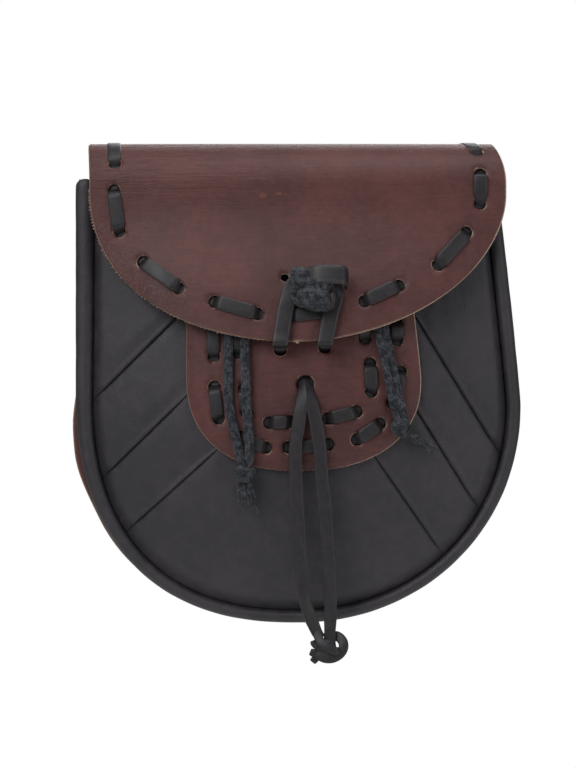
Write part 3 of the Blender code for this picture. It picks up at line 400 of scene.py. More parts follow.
# How far a thong or cord has turned about its own line, in degrees, at shares of its length.
Turn = namedtuple("Turn", "share degrees")
THONG_LEFT_TURNS = (
    Turn(0, 40),
    Turn(0.12, 12),
    Turn(0.5, 0),
    Turn(0.68, 24),
    Turn(0.86, -22),
    Turn(1, -10),
)
THONG_RIGHT_TURNS = (Turn(0, -30), Turn(0.12, -8), Turn(0.6, 4), Turn(0.8, 24), Turn(1, 5))
LEFT_CORD_TURNS = (Turn(0, 0), Turn(0.4, 15), Turn(0.7, -25), Turn(1, 10))
RIGHT_CORD_TURNS = (Turn(0, 0), Turn(0.5, 35), Turn(1, -15))
# How far the left and the right thong lie beside their routes, and where along them.
LEFT_SHIFT = 1.6
RIGHT_SHIFT = -0.9
SHIFT_SHARE = 0.17
SHIFT_SPREAD = 0.11

# A lobe of the knot button: its middle to the right of, above and out from the button's base, its half
# sizes, how it is turned in degrees, and 0 for suede or 1 for smooth leather.
Lobe = namedtuple("Lobe", "right up out half_width half_height half_depth degrees look")
BUTTON_LOBES = (
    Lobe(0.6, 0.0, 5.2, 9.0, 8.8, 4.6, 0, 0),
    Lobe(-5.2, 4.8, 7.2, 4.9, 5.5, 4.6, 30, 0),
    Lobe(0.2, -4.2, 8.0, 7.4, 5.8, 5.2, -10, 0),
    Lobe(-6.6, -2.0, 5.4, 3.8, 5.6, 4.2, 16, 0),
    Lobe(-1.0, 2.0, 8.6, 3.4, 3.4, 3.8, 30, 0),
    Lobe(4.4, 0.4, 8.2, 3.4, 3.6, 3.8, -40, 0),
    Lobe(4.6, -7.2, 6.6, 3.8, 3.2, 3.8, 25, 0),
    Lobe(8.4, -4.6, 5.6, 2.6, 5.0, 3.8, -8, 1),
)
BUTTON_STRAP = (
    (-2.0, 5.0, 8.8),
    (1.5, 5.4, 10.6),
    (5.5, 5.5, 11.2),
    (10.0, 5.4, 11.1),
    (13.4, 5.3, 10.3),
    (14.9, 5.0, 7.0),
    (14.6, 4.6, 2.8),
)
BUTTON_STRAP_WIDTH = 8.8
BUTTON_NECK_HEIGHT = 5.0
BUTTON_SAG = 3.4
NECK_SAG = 2.5
CLOSURE_PINCH = 0.24
CLOSURE_TAIL = 1.2
CLOSURE_RISE = 1.5
BUTTON_STRAP_THICKNESS = 1.5
SUEDE_LUMPS = 0.17
SMOOTH_LUMPS = 0.05

# Powers that round a strip's sides and faces, both 1 for an ellipse, and its number of corners.
Section = namedtuple("Section", "side face corners")
LACE_SECTION = Section(0.4, 0.8, 18)
CORD_SECTION = Section(0.45, 0.75, 20)
TIE_SECTION = Section(0.5, 0.8, 16)
TURN_SECTION = Section(0.8, 0.9, 16)
STRAND_SECTION = Section(0.7, 0.9, 10)
NECK_SECTION = Section(1.0, 1.0, 24)
BUTTON_STRAP_SECTION = Section(0.45, 0.8, 20)

# How finely each form is divided: numbers of rows and columns, and spacings along a line.
BACK_FOOT_ROWS = 40
BACK_ROWS = 30
ROLL_ROWS = 56
FLAP_ROWS = 76
WRAP_COLUMNS = 158
BIB_ROWS = 30
BIB_FOOT_ROWS = 56
BIB_COLUMNS = 118
PANEL_SIDE_COLUMNS = 56
PANEL_MIDDLE_COLUMNS = 33
ROWS_BETWEEN_PLEATS = (46, 6, 4, 52)
GUSSET_ROWS = 190
GUSSET_COLUMNS = 22
BINDING_ROWS = 200
BINDING_COLUMNS = 32
LOOP_ROWS = 150
LOOP_COLUMNS = 30
EDGE_CROWDING = 0.35
LOOP_CROWDING = 0.5
CORD_SPACING = 0.7
LACE_SPACING = 0.6
STRAP_SPACING = 0.4
TIE_SPACING = 0.35
STRAND_SPACING = 0.3
EDGE_STRAIGHT_PLACES = 60
EDGE_TURN_PLACES = 600
EDGE_PLACES = 1201
LINE_PLACES = 24
SLICE_POINTS = 1500
PLEAT_LIP_ROWS = 6
PLEAT_ABOVE_ROWS = 18
PLEAT_BELOW_ROWS = 9
NECK_ROWS = 12
BALL_ROWS = 32
BALL_COLUMNS = 48
BALL_POLE = 0.03
COLUMN_CROWDING = 1.25

# A wall's edge: its thickness there as a share of the whole, and how far in it becomes whole.
EDGE_THINNESS = 0.4
EDGE_ROUNDING = 0.9
LOOP_ROUNDING = 0.7
FAR_FROM_HOLES = 99.0
SHARP_ANGLE = 55.0

# Soft unevenness: how deep it is, in millimetres or as a share.
PANEL_SLACK = 0.28
PUCKER_DEPTH = 0.22
PUCKER_WAVES = 150.0
BINDING_UNEVEN = 0.018
CORD_UNEVEN = 0.05

EVEN = (1.0, 1.0, 1.0)
# Colours as linear red, green and blue; a pair goes from its darkest to its palest.
BURGUNDY = ((0.045, 0.0124, 0.0117), (0.091, 0.0288, 0.0262))
PORES = (0.034, 0.014, 0.014)
SCUFF = (0.150, 0.050, 0.024)
DUST = (0.190, 0.120, 0.105)
# The cut rim's own tan, from a darker end to a paler end; the paling towards the lower right is painted
# light.
CUT_RIM_AND_PAINTED_LIGHT = ((0.240, 0.155, 0.110), (0.560, 0.430, 0.330))
HOLE_CRESCENT = (0.230, 0.140, 0.100)
RAW_FIBRE = ((0.300, 0.205, 0.150), (0.740, 0.590, 0.460))
BLACK = ((0.0130, 0.0112, 0.0145), (0.0245, 0.0208, 0.0272))
BLACK_BLOOM = (0.031, 0.027, 0.033)
LACE = ((0.0066, 0.0054, 0.0067), (0.0152, 0.0127, 0.0157))
LACE_CUT = (0.028, 0.025, 0.029)
SUEDE = ((0.0046, 0.0052, 0.0068), (0.0720, 0.0780, 0.0920))
FLOOR = ((0.78, 0.78, 0.77), (0.84, 0.84, 0.83))
# Small scuffs on the front of the roll: the middle of each, and its half width and half height.
Scuff = namedtuple("Scuff", "x z half_width half_height")
SCUFFS = (Scuff(-16.0, 17.6, 2.1, 1.7), Scuff(-8.8, 18.5, 1.7, 1.1))


def smooth(value):
    """Ease from 0 to 1 as the value goes from 0 to 1."""
    share = np.clip(value, 0.0, 1.0)
    return share * share * (3.0 - 2.0 * share)


def mix(first, second, share):
    """Go from the first value at a share of 0 to the second at 1."""
    return first + (second - first) * share


def unit(vectors):
    """Scale each vector to a length of 1."""
    return vectors / np.maximum(np.linalg.norm(vectors, axis=-1, keepdims=True), 1e-9)


def place(x, forward, drop):
    """Turn x, forward and drop into points with x, y and z."""
    x, forward, drop = np.broadcast_arrays(x, forward, drop)
    return np.stack([x, -forward, SHOULDER_Z - drop], axis=-1).astype(float)


def waves(seed, *directions):
    """Add a few sine waves with fixed random phases: a soft unevenness between about -1 and 1."""
    phases = np.random.default_rng(seed).uniform(0.0, 2 * np.pi, len(directions))
    return sum(np.sin(value + phase) for value, phase in zip(directions, phases)) / len(directions)


def reach_at(edge, drop):
    """Give a piece's half width at a drop from its own top."""
    straight = edge.straight_share * edge.height
    lean = edge.taper * np.clip(1.0 - drop / straight, 0.0, None) ** LEAN_POWER
    turned = np.clip((drop - straight) / (edge.height - straight), 0.0, 1.0)
    return (edge.reach - lean) * (1.0 - turned**edge.roundness) ** (1.0 / edge.roundness)


def edge_curve(edge):
    """Trace a half outline at even spacing: reach, drop, and its length."""
    straight = edge.straight_share * edge.height
    upper = np.linspace(0.0, straight, EDGE_STRAIGHT_PLACES, endpoint=False)
    turn = np.linspace(0.0, np.pi / 2, EDGE_TURN_PLACES)
    power = 2.0 / edge.roundness
    drop = np.concatenate([upper, straight + (edge.height - straight) * np.sin(turn) ** power])
    lean = edge.taper * (1.0 - upper / straight) ** LEAN_POWER
    reach = np.concatenate([edge.reach - lean, edge.reach * np.cos(turn) ** power])
    travel = np.concatenate([[0.0], np.cumsum(np.hypot(np.diff(reach), np.diff(drop)))])
    even = np.linspace(0.0, travel[-1], EDGE_PLACES)
    return np.interp(even, travel, reach), np.interp(even, travel, drop), travel[-1]


def along_edge(edge, share, inset):
    """Give x and drop at a share of the half outline's length, moved inwards by the inset."""
    reach, drop, _ = edge_curve(edge)
    across = np.gradient(reach)
    down = np.gradient(drop)
    size = np.hypot(across, down)
    shares = np.linspace(0.0, 1.0, len(reach))
    inward_x = np.interp(share, shares, -down / size)
    inward_drop = np.interp(share, shares, across / size)
    x = np.interp(share, shares, reach) + inward_x * inset
    lower = np.interp(share, shares, drop) + inward_drop * inset
    return edge.side * x, lower


def chain(pair, count, left_inset, right_inset):
    """Go down the left edge and up the right one; an inset is one number, or one for each place."""
    shares = np.linspace(0.0, 1.0, count)
    left_x, left_drop = along_edge(pair[0], shares, left_inset)
    right_x, right_drop = along_edge(pair[1], shares, right_inset)
    x = np.concatenate([left_x, right_x[-2::-1]])
    drop = np.concatenate([left_drop, right_drop[-2::-1]])
    return x, drop


def rim_closeness(pair, x, drop, inset):
    """Say how near a place is to a piece's rim: 0 at the middle and 1 at the rim."""
    edge_values = []
    for edge in pair:
        straight = edge.straight_share * edge.height
        lean = edge.taper * np.clip(1.0 - drop / straight, 0.0, 1.0) ** LEAN_POWER
        across = np.abs(x) / (edge.reach - lean - inset)
        down = np.clip((drop - straight) / (edge.height - inset - straight), 0.0, None)
        edge_values.append((across**DOME_ROUNDNESS + down**DOME_ROUNDNESS) ** (1.0 / DOME_ROUNDNESS))
    return np.where(np.asarray(x) < 0.0, edge_values[0], edge_values[1])


def dome(x, drop, inset):
    """Give how far the body's front swells forward of the binding; it ends at the inset from the edge."""
    closeness = rim_closeness(BODY, x, np.clip(drop, 0.0, None), inset)
    swell = 1.0 - np.clip(closeness, 0.0, 1.0) ** DOME_POWER
    rise = mix(MOUTH_RISE, 1.0, smooth(drop / (BODY_HEIGHT / 2)))
    return DOME_HEIGHT * swell * rise


def binding_width(side, share):
    """Give the binding's width at a share of the left or right side, 0 or 1, slimmer at the foot."""
    return mix(BINDING_SIDE_WIDTHS[side], BINDING_FOOT_WIDTH, smooth(share))


def bib_middle(x, drop):
    """Give points on the middle of the bib's wall; drop is measured from the bib's top."""
    closeness = rim_closeness(BIB, x, np.clip(drop, 0.0, None), 0.0)
    stand = mix(BIB_STAND, BIB_RIM_STAND, smooth((closeness - BIB_RIM_START) / (1.0 - BIB_RIM_START)))
    forward = FRONT + dome(x, drop + BIB_TOP, BINDING_WIDTH) + stand + BIB_WALL / 2
    return place(x, forward, drop + BIB_TOP)


def flap_stand(x, drop):
    """Give the flap's distance from the body's front: more where it lies over the bib and cords."""
    beside = smooth((np.abs(x) - BIB_RIGHT_REACH - FLAP_LIFT_MARGIN) / FLAP_LIFT_SPREAD)
    above = smooth((BIB_TOP - FLAP_LIFT_MARGIN - drop) / FLAP_LIFT_RUN)
    return FLAP_STAND + FLAP_LIFT * (1.0 - beside) * (1.0 - above)


def wrap_middle(x, station):
    """Give points on the middle of the wall of the back, the roll and the flap."""
    x, station = np.broadcast_arrays(np.asarray(x, float), np.asarray(station, float))
    angle = np.radians(np.clip(station, -90.0, 90.0))
    run = np.clip(np.abs(station) - 90.0, 0.0, None)
    drop = run - ROLL_HEIGHT * np.cos(angle)
    swell = dome(x, np.clip(drop, 0.0, None), -FLAP_SPREAD)
    front = FRONT + swell + flap_stand(x, drop) + WRAP_WALL / 2
    return place(x, mix(BACK_MIDDLE, front, (1.0 + np.sin(angle)) / 2), drop)


def wrap_edges(station):
    """Give the left and right reach of the wrap at a station."""
    drop = max(abs(station) - 90.0, 0.0)
    turn = np.sin(np.radians(np.clip(station, -90.0, 90.0))) ** 2
    if station < -90.0:
        left = mix(CREST_LEFT_REACH, reach_at(BACK[0], drop), smooth(drop / SHOULDER_BLEND))
        bulge = smooth((drop - BULGE_TOP) / BULGE_EASE) * smooth((BULGE_FOOT - drop) / BULGE_EASE)
        left = left + BACK_BULGE * bulge
        return left, reach_at(BACK[1], drop)
    if station < 0.0:
        return CREST_LEFT_REACH, mix(CREST_RIGHT_REACH, reach_at(BACK[1], 0.0), turn)
    left = mix(CREST_LEFT_REACH, reach_at(FLAP[0], drop), turn)
    return left, mix(CREST_RIGHT_REACH, reach_at(FLAP[1], drop), turn)


def frame_at(surface, x, along):
    """Give points on a surface and its outward directions there."""
    step = 0.4
    across = surface(x + step, along) - surface(x - step, along)
    down = surface(x, along + step) - surface(x, along - step)
    return surface(x, along), -unit(np.cross(across, down))


def edge_dense(count, strength):
    """List shares from 0 to 1 that lie closer together near both ends."""
    even = np.linspace(0.0, 1.0, count)
    return mix(even, (1.0 - np.cos(np.pi * even)) / 2, strength)


def front_place(shares, reach, height):
    return shares.reach_share * reach, shares.drop_share * height


def raised_corner(x, drop):
    """Lift the left end of the mouth: the whole rise at drop 0, easing out over the run below it."""
    return drop - np.where(x < 0.0, LEFT_CORNER_RISE, 0.0) * (1.0 - smooth(drop / CORNER_RUN))


def stitch_holes(pair, table):
    """List the x and drop of a running stitch's holes, in order."""
    holes = []
    for row in table:
        holes.append(along_edge(pair[row.start_side], row.start_share, row.start_inset))
        holes.append(along_edge(pair[row.end_side], row.end_share, row.end_inset))
    return np.array(holes, float)


def flap_holes():
    """List the x and station of the flap lace's holes, from the left end of the fold to the right."""
    left = [LEFT_BACK_HOLE, LEFT_FOLD_HOLE, LEFT_TOP_HOLE]
    right = [RIGHT_TOP_HOLE, RIGHT_FOLD_HOLE, RIGHT_BACK_HOLE]
    reach = np.array([FLAP_REACH, 1.0])
    rim = [stitch_holes(FLAP, [LEFT_TOP_END])[:1], stitch_holes(FLAP, FLAP_STITCHES)]
    rim.append(stitch_holes(FLAP, [RIGHT_TOP_START])[:1])
    below_fold = np.concatenate(rim) + (0.0, 90.0)
    return np.concatenate([np.array(left) * reach, below_fold, np.array(right) * reach])


def bib_holes():
    """List the x and drop of every small hole of the bib, its laces' first."""
    laced = [stitch_holes(BIB, BIB_OUTER_STITCHES), stitch_holes(BIB, BIB_INNER_STITCHES)]
    closure_holes = (CLOSURE_LEFT_HOLE, CLOSURE_RIGHT_HOLE)
    closure = [front_place(hole, BIB_RIGHT_REACH, BIB_HEIGHT) for hole in closure_holes]
    return np.concatenate(laced + [np.array(closure)])


class Socket:
    """A shader socket in plain arithmetic: each operator adds one Math node."""

    def __init__(self, look, output):
        self.look = look
        self.output = output

    def math(self, operation, first, second):
        return self.look.node("ShaderNodeMath", {"operation": operation}, {0: first, 1: second})

    def __add__(self, other):
        return self.math("ADD", self, other)

    def __radd__(self, other):
        return self.math("ADD", other, self)

    def __sub__(self, other):
        return self.math("SUBTRACT", self, other)

    def __rsub__(self, other):
        return self.math("SUBTRACT", other, self)

    def __mul__(self, other):
        return self.math("MULTIPLY", self, other)

    def __rmul__(self, other):
        return self.math("MULTIPLY", other, self)


class Look:
    """A material: one method adds any node, and the others name what this pouch's finishes need."""

    def __init__(self, name, **constants):
        self.material = bpy.data.materials.new(name)
        self.material.use_nodes = True
        self.nodes = self.material.node_tree.nodes
        self.links = self.material.node_tree.links
        self.shader = self.nodes["Principled BSDF"]
        for socket, value in constants.items():
            self.shader.inputs[socket.replace("_", " ").title().replace("Ior", "IOR")].default_value = value
        self.here = self.node("ShaderNodeTexCoord", {}, {}, "Object")

    def node(self, kind, settings, inputs, output=0):
        """Add a node: its settings first, then the values or links of its sockets."""
        made = self.nodes.new(kind)
        for name, value in settings.items():
            setattr(made, name, value)
        for key, value in inputs.items():
            if isinstance(value, Socket):
                self.links.new(value.output, made.inputs[key])
            else:
                made.inputs[key].default_value = value
        return Socket(self, made.outputs[output])

    def feed(self, name, value):
        self.links.new(value.output, self.shader.inputs[name])

    def stretched(self, scale):
        """Object coordinates in millimetres, scaled on each axis."""
        sizes = [value / TO_METRES for value in scale]
        return self.node("ShaderNodeMapping", {}, {"Vector": self.here, "Scale": sizes})

    def noise(self, size, detail=3.0, roughness=0.55, stretch=EVEN, where=None):
        """A noise from 0 to 1 whose lumps are about this many millimetres across."""
        where = where or self.stretched(stretch)
        sockets = {"Vector": where, "Scale": 1.0 / size, "Detail": detail, "Roughness": roughness}
        return self.node("ShaderNodeTexNoise", {}, sockets)

    def cells(self, size):
        """Grain cells about this many millimetres across: 0 on the creases between them."""
        sockets = {"Vector": self.stretched(EVEN), "Scale": 1.0 / size}
        return self.node("ShaderNodeTexVoronoi", {"feature": "DISTANCE_TO_EDGE"}, sockets)

    def step(self, value, low, high):
        """Go smoothly from 0 to 1 as the value goes from low to high."""
        settings = {"interpolation_type": "SMOOTHSTEP", "clamp": True}
        return self.node("ShaderNodeMapRange", settings, {0: value, 1: low, 2: high})

    def attribute(self, name):
        return self.node("ShaderNodeAttribute", {"attribute_name": name}, {}, "Fac")

    def axes(self, vector):
        split = self.nodes.new("ShaderNodeSeparateXYZ")
        self.links.new(vector.output, split.inputs[0])
        return [Socket(self, output) for output in split.outputs]

    def blend(self, first, second, share):
        """Mix two colours, each given as three numbers or a socket."""
        ends = [value if isinstance(value, Socket) else (*value, 1.0) for value in (first, second)]
        return self.node("ShaderNodeMix", {"data_type": "RGBA"}, {0: share, 6: ends[0], 7: ends[1]}, 2)

    def relief(self, height, millimetres):
        """Bump the surface by a height of 0 to 1, this many millimetres deep."""
        sockets = {"Height": height, "Distance": millimetres * TO_METRES, "Strength": 1.0}
        self.feed("Normal", self.node("ShaderNodeBump", {}, sockets, "Normal"))


def brown_leather():
    """Burgundy-brown leather: mottled, faintly streaked along the fold, with tan at cuts and holes; the cut
    rim is painted paler towards the lower right as painted light.
    """
    look = Look("burgundy_leather_finish", specular_ior_level=0.36)
    tone = look.noise(38.0, 4.0)
    mottle = look.noise(3.4, 5.0, 0.65)
    speckle = look.noise(0.55, 2.0)
    streaks = look.noise(1.3, 4.0, 0.6, stretch=(0.10, 1.0, 1.5))
    x, y, z = look.axes(look.stretched(EVEN))
    shade = look.step(tone * 0.45 + mottle * 0.30 + streaks * 0.20 + speckle * 0.16, 0.40, 0.72)
    colour = look.blend(*BURGUNDY, shade)
    pores = look.step(speckle, 0.62, 0.80)
    colour = look.blend(colour, PORES, pores * 0.55)
    for mark in SCUFFS:
        across = (x - mark.x) * (1.0 / mark.half_width)
        up = (z - mark.z) * (1.0 / mark.half_height)
        far = across * across + up * up + mottle * 1.6
        scuff = (1.0 - look.step(far, 0.7, 1.9)) * look.step(y, -20.0, -40.0)
        colour = look.blend(colour, SCUFF, scuff * 0.6)
    dusty = look.step(look.noise(0.9, 2.0), 0.55, 0.64)
    dusty = dusty * look.step(x * -1.0 - z, 55.0, 125.0)
    dusty = dusty * look.step(z, -60.0, -20.0)
    colour = look.blend(colour, DUST, dusty * 0.4)
    # The cut rim is the leather's own tan; its paling towards the lower right is painted light.
    at_cut_rim = 1.0 - look.step(look.attribute("rim") + speckle * 0.9, 0.55, 1.35)
    cut = look.blend(*CUT_RIM_AND_PAINTED_LIGHT, look.step(x - z * 0.4, 10.0, 80.0))
    colour = look.blend(colour, cut, at_cut_rim * 0.85)
    crescent = 1.0 - look.step(look.attribute("hole") + speckle * 0.5, 0.35, 0.95)
    patchy = look.step(look.noise(3.6, 2.0), 0.42, 0.60)
    colour = look.blend(colour, HOLE_CRESCENT, crescent * patchy * 0.75)
    look.feed("Base Color", colour)
    look.feed("Roughness", 0.44 + mottle * 0.14 + speckle * 0.10)
    grain = look.step(look.cells(0.9), 0.0, 0.32)
    fold_lines = look.step(look.noise(1.5, 3.0, 0.6, stretch=(0.05, 0.8, 1.3)), 0.40, 0.60)
    at_fold = look.step(z, 10.0, 30.0) * look.step(x, 40.0, -90.0)
    height = grain * 0.22 + mottle * 0.40 + speckle * 0.18 + streaks * 0.20
    look.relief(height + (1.0 - fold_lines) * at_fold * 0.8, 0.22)
    return look


def raw_edge():
    """The cut edge of the leather: pale tan fibres."""
    look = Look("raw_edge_finish", roughness=0.85, specular_ior_level=0.2)
    fibre = look.noise(0.45, 4.0, 0.7)
    look.feed("Base Color", look.blend(*RAW_FIBRE, look.step(fibre, 0.35, 0.65)))
    look.relief(fibre, 0.25)
    return look


def black_leather():
    """Soft black leather: fine pebbles, long soft wrinkles and a faint purple-grey bloom."""
    look = Look("black_leather_finish", specular_ior_level=0.45)
    bloom = look.noise(52.0, 3.0)
    mottle = look.noise(5.0, 4.0, 0.6)
    fine = look.noise(0.7, 3.0)
    shade = look.step(bloom * 0.55 + mottle * 0.45, 0.38, 0.64)
    colour = look.blend(*BLACK, shade)
    look.feed("Base Color", look.blend(colour, BLACK_BLOOM, look.step(fine, 0.60, 0.78) * 0.5))
    look.feed("Roughness", 0.40 + mottle * 0.16 + fine * 0.08)
    pebbles = look.step(look.cells(0.75), 0.0, 0.30)
    wrinkles = look.step(look.noise(5.5, 3.0, 0.5, stretch=(1.0, 1.0, 0.55)), 0.35, 0.65)
    look.relief(pebbles * 0.22 + wrinkles * 0.45 + mottle * 0.30 + fine * 0.12, 0.22)
    return look


def along_strip(look, length_size, width_size):
    """Coordinates that follow a strip: millimetres along it and across it, each over its own size."""
    along = look.attribute("along") * (1.0 / length_size)
    across = look.attribute("across") * (1.0 / width_size)
    return look.node("ShaderNodeCombineXYZ", {}, {0: along, 1: across})


def black_lace():
    """Smooth flat lace: long fine fibres, a soft sheen and paler cut edges."""
    look = Look("black_lace_finish", specular_ior_level=0.39)
    fibres = look.noise(1.0, 3.0, where=along_strip(look, 5.0, 0.28))
    mottle = look.noise(2.2, 4.0)
    colour = look.blend(*LACE, look.step(fibres * 0.6 + mottle * 0.4, 0.36, 0.64))
    side = look.attribute("across")
    cut = look.step(side * side, 5.0, 8.5)
    look.feed("Base Color", look.blend(colour, LACE_CUT, cut * 0.6))
    look.feed("Roughness", 0.36 + mottle * 0.20 + fibres * 0.08)
    look.relief(fibres * 0.5 + mottle * 0.5, 0.10)
    return look


def suede():
    """Napped blue-black suede: matt, streaked along the cord and rough, darkened in random patches of
    painted shade.
    """
    look = Look("suede_finish", sheen_weight=0.10, sheen_roughness=0.5, specular_ior_level=0.15)
    nap = look.noise(0.55, 5.0, 0.8)
    streaks = look.noise(1.0, 3.0, where=along_strip(look, 2.6, 0.45))
    lumps = look.noise(2.2, 4.0)
    shade = look.step(nap * 0.5 + streaks * 0.28 + lumps * 0.22, 0.40, 0.62)
    # Darker in random patches: painted shade standing in for the crevices of the knots.
    shade = shade * (0.40 + 0.60 * look.step(look.noise(3.0, 2.0), 0.38, 0.56))
    look.feed("Base Color", look.blend(*SUEDE, shade))
    look.feed("Roughness", 0.82 + nap * 0.15)
    look.relief(nap * 0.6 + streaks * 0.3 + lumps * 0.8, 0.55)
    return look


def plain_floor():
    """A pale matt floor with the faintest unevenness."""
    look = Look("pale_floor_finish", roughness=0.9)
    look.feed("Base Color", look.blend(*FLOOR, look.noise(120.0, 2.0)))
    return look


def piece(name, points, faces, looks, nodes, fields=None, face_looks=None):
    """Make one mesh from points in millimetres; fields are values for each point that its finish reads."""
    mesh = bpy.data.meshes.new(name)
    mesh.from_pydata((points * TO_METRES).tolist(), [], faces)
    for key, values in (fields or {}).items():
        layer = mesh.attributes.new(key, "FLOAT", "POINT")
        layer.data.foreach_set("value", np.asarray(values, np.float32))
    for look in looks:
        mesh.materials.append(look.material)
    if face_looks is not None:
        mesh.polygons.foreach_set("material_index", np.asarray(face_looks, np.int32))
    mesh.shade_smooth()
    mesh.set_sharp_from_angle(angle=np.radians(SHARP_ANGLE))
    item = bpy.data.objects.new(name, mesh)
    bpy.context.collection.objects.link(item)
    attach(item, "root")
    if nodes:
        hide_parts(*nodes)
    return item


def grid_quads(rows, columns, closed=False):
    """Number the quads of a grid of points: down a row, then one column to the right."""
    across = columns if closed else columns - 1
    row, column = np.meshgrid(np.arange(rows - 1), np.arange(across), indexing="ij")
    after = (column + 1) % columns
    here = row * columns
    below = here + columns
    return np.stack([here + column, below + column, below + after, here + after], axis=-1).reshape(-1, 4)


def grid_normals(grid):
    """Give the outward direction at each point: the way down the rows crossed with the way along them."""
    return unit(np.cross(np.gradient(grid, axis=0), np.gradient(grid, axis=1)))


def open_edges(quads):
    """List the edges that belong to one quad only, in that quad's own direction."""
    edges = np.concatenate([quads[:, [0, 1]], quads[:, [1, 2]], quads[:, [2, 3]], quads[:, [3, 0]]])
    ordered = np.sort(edges, axis=1)
    keys = ordered[:, 0] * (quads.max() + 1) + ordered[:, 1]
    _, first, counts = np.unique(keys, return_index=True, return_counts=True)
    return edges[first[counts == 1]]


def nearest_distance(points, targets):
    """Give each point's distance to the nearest target, worked out in slices of the points."""
    slices = np.array_split(points, max(len(points) // SLICE_POINTS, 1))
    found = [np.linalg.norm(part[:, None] - targets[None], axis=2).min(axis=1) for part in slices]
    return np.concatenate(found)


def punched(points, quads, centres, radii):
    """Leave out the quads whose middle lies in a hole, and draw each hole's ring onto its circle."""
    span = np.linalg.norm(points[quads].mean(axis=1)[:, None] - centres[None], axis=2)
    inside = (span < radii).any(axis=1)
    kept = quads[~inside]
    ring = np.zeros(len(points), bool)
    ring[quads[inside]] = True
    used = np.zeros(len(points), bool)
    used[kept] = True
    ring &= used
    away = points[:, None] - centres[None]
    distance = np.linalg.norm(away, axis=2)
    nearest = np.argmin(distance - radii, axis=1)
    moved = points.copy()
    number = nearest[ring]
    scale = radii[number] / distance[ring, number]
    moved[ring] = centres[number] + away[ring, number] * scale[:, None]
    clear = np.where(ring, 0.0, np.clip((distance - radii).min(axis=1), 0.0, None))
    return moved, kept, clear


def leather_wall(name, grid, wall, looks, node, centres=None, radii=None, base=None,
                 rounding=EDGE_ROUNDING):
    """Give a grid its thickness, half to each side, with soft edges at the rim and at the holes.

    The half thickness at an edge is EDGE_THINNESS of itself and swells to the whole along a quarter
    circle over the rounding distance. With a base, a smoother grid that gives the thickness its
    directions, the grid is the front panel, whose last row's two halves are the same line and share
    points.
    """
    rows, columns = grid.shape[:2]
    quads = grid_quads(rows, columns)
    outward = grid_normals(grid if base is None else base).reshape(-1, 3)
    points = grid.reshape(-1, 3)
    if base is not None:
        last = (rows - 1) * columns
        mirrored = 2 * last + columns - 1 - quads
        quads = np.where((quads >= last) & (mirrored < quads), mirrored, quads)
    rim = nearest_distance(points, points[np.unique(open_edges(quads))])
    hole = np.full(len(points), FAR_FROM_HOLES)
    if centres is not None:
        points, quads, hole = punched(points, quads, centres, radii)
    edge = np.clip(np.minimum(rim, hole) / rounding, 0.0, 1.0)
    half = wall / 2 * mix(EDGE_THINNESS, 1.0, np.sqrt(1.0 - (1.0 - edge) ** 2))
    used, quads = np.unique(quads, return_inverse=True)
    quads = quads.reshape(-1, 4)
    points, outward, half = points[used], outward[used], half[used, None]
    count = len(points)
    border = open_edges(quads)
    walls = np.stack([border[:, 1], border[:, 0], border[:, 0] + count, border[:, 1] + count], axis=1)
    faces = np.concatenate([quads, quads[:, ::-1] + count, walls])
    face_looks = np.zeros(len(faces), int)
    face_looks[2 * len(quads):] = len(looks) - 1
    both = np.concatenate([points + outward * half, points - outward * half])
    fields = {"rim": np.tile(rim[used], 2), "hole": np.tile(hole[used], 2)}
    return piece(name, both, faces.tolist(), looks, [node], fields, face_looks)


def end_caps(rows, columns):
    """Close a tube's first and last ring, each with one face."""
    total = rows * columns
    return [list(range(columns)), list(range(total - 1, total - columns - 1, -1))]


Strip = namedtuple("Strip", "points faces along across")


def strip(points, sides, widths, thicknesses, section, closed=False):
    """Carry a rounded flat section along a path.

    The section's two half sizes are multiplied by the cosine and sine of an angle, each raised to a
    power below 1 so that the face stays flat and the corners are soft.
    """
    points = np.asarray(points, float)
    if closed:
        steps = np.roll(points, -1, axis=0) - np.roll(points, 1, axis=0)
    else:
        steps = np.gradient(points, axis=0)
    tangents = unit(steps)
    across = unit(sides - tangents * np.sum(sides * tangents, axis=1, keepdims=True))
    through = np.cross(across, tangents)
    corners = section.corners
    angle = np.linspace(0.0, 2 * np.pi, corners, endpoint=False)
    wide = np.sign(np.cos(angle)) * np.abs(np.cos(angle)) ** section.side
    deep = np.sign(np.sin(angle)) * np.abs(np.sin(angle)) ** section.face
    half_width = np.broadcast_to(np.asarray(widths, float) / 2, len(points))[:, None] * wide
    half_depth = np.broadcast_to(np.asarray(thicknesses, float) / 2, len(points))[:, None] * deep
    rings = points[:, None] + across[:, None] * half_width[..., None]
    rings = rings + through[:, None] * half_depth[..., None]
    travel = np.concatenate([[0.0], np.cumsum(np.linalg.norm(np.diff(points, axis=0), axis=1))])
    along = np.repeat(travel, corners)
    total = len(points) * corners
    if closed:
        faces = (grid_quads(len(points) + 1, corners, True) % total).tolist()
    else:
        faces = grid_quads(len(points), corners, True).tolist() + end_caps(len(points), corners)
    return Strip(rings.reshape(-1, 3), faces, along, half_width.ravel())


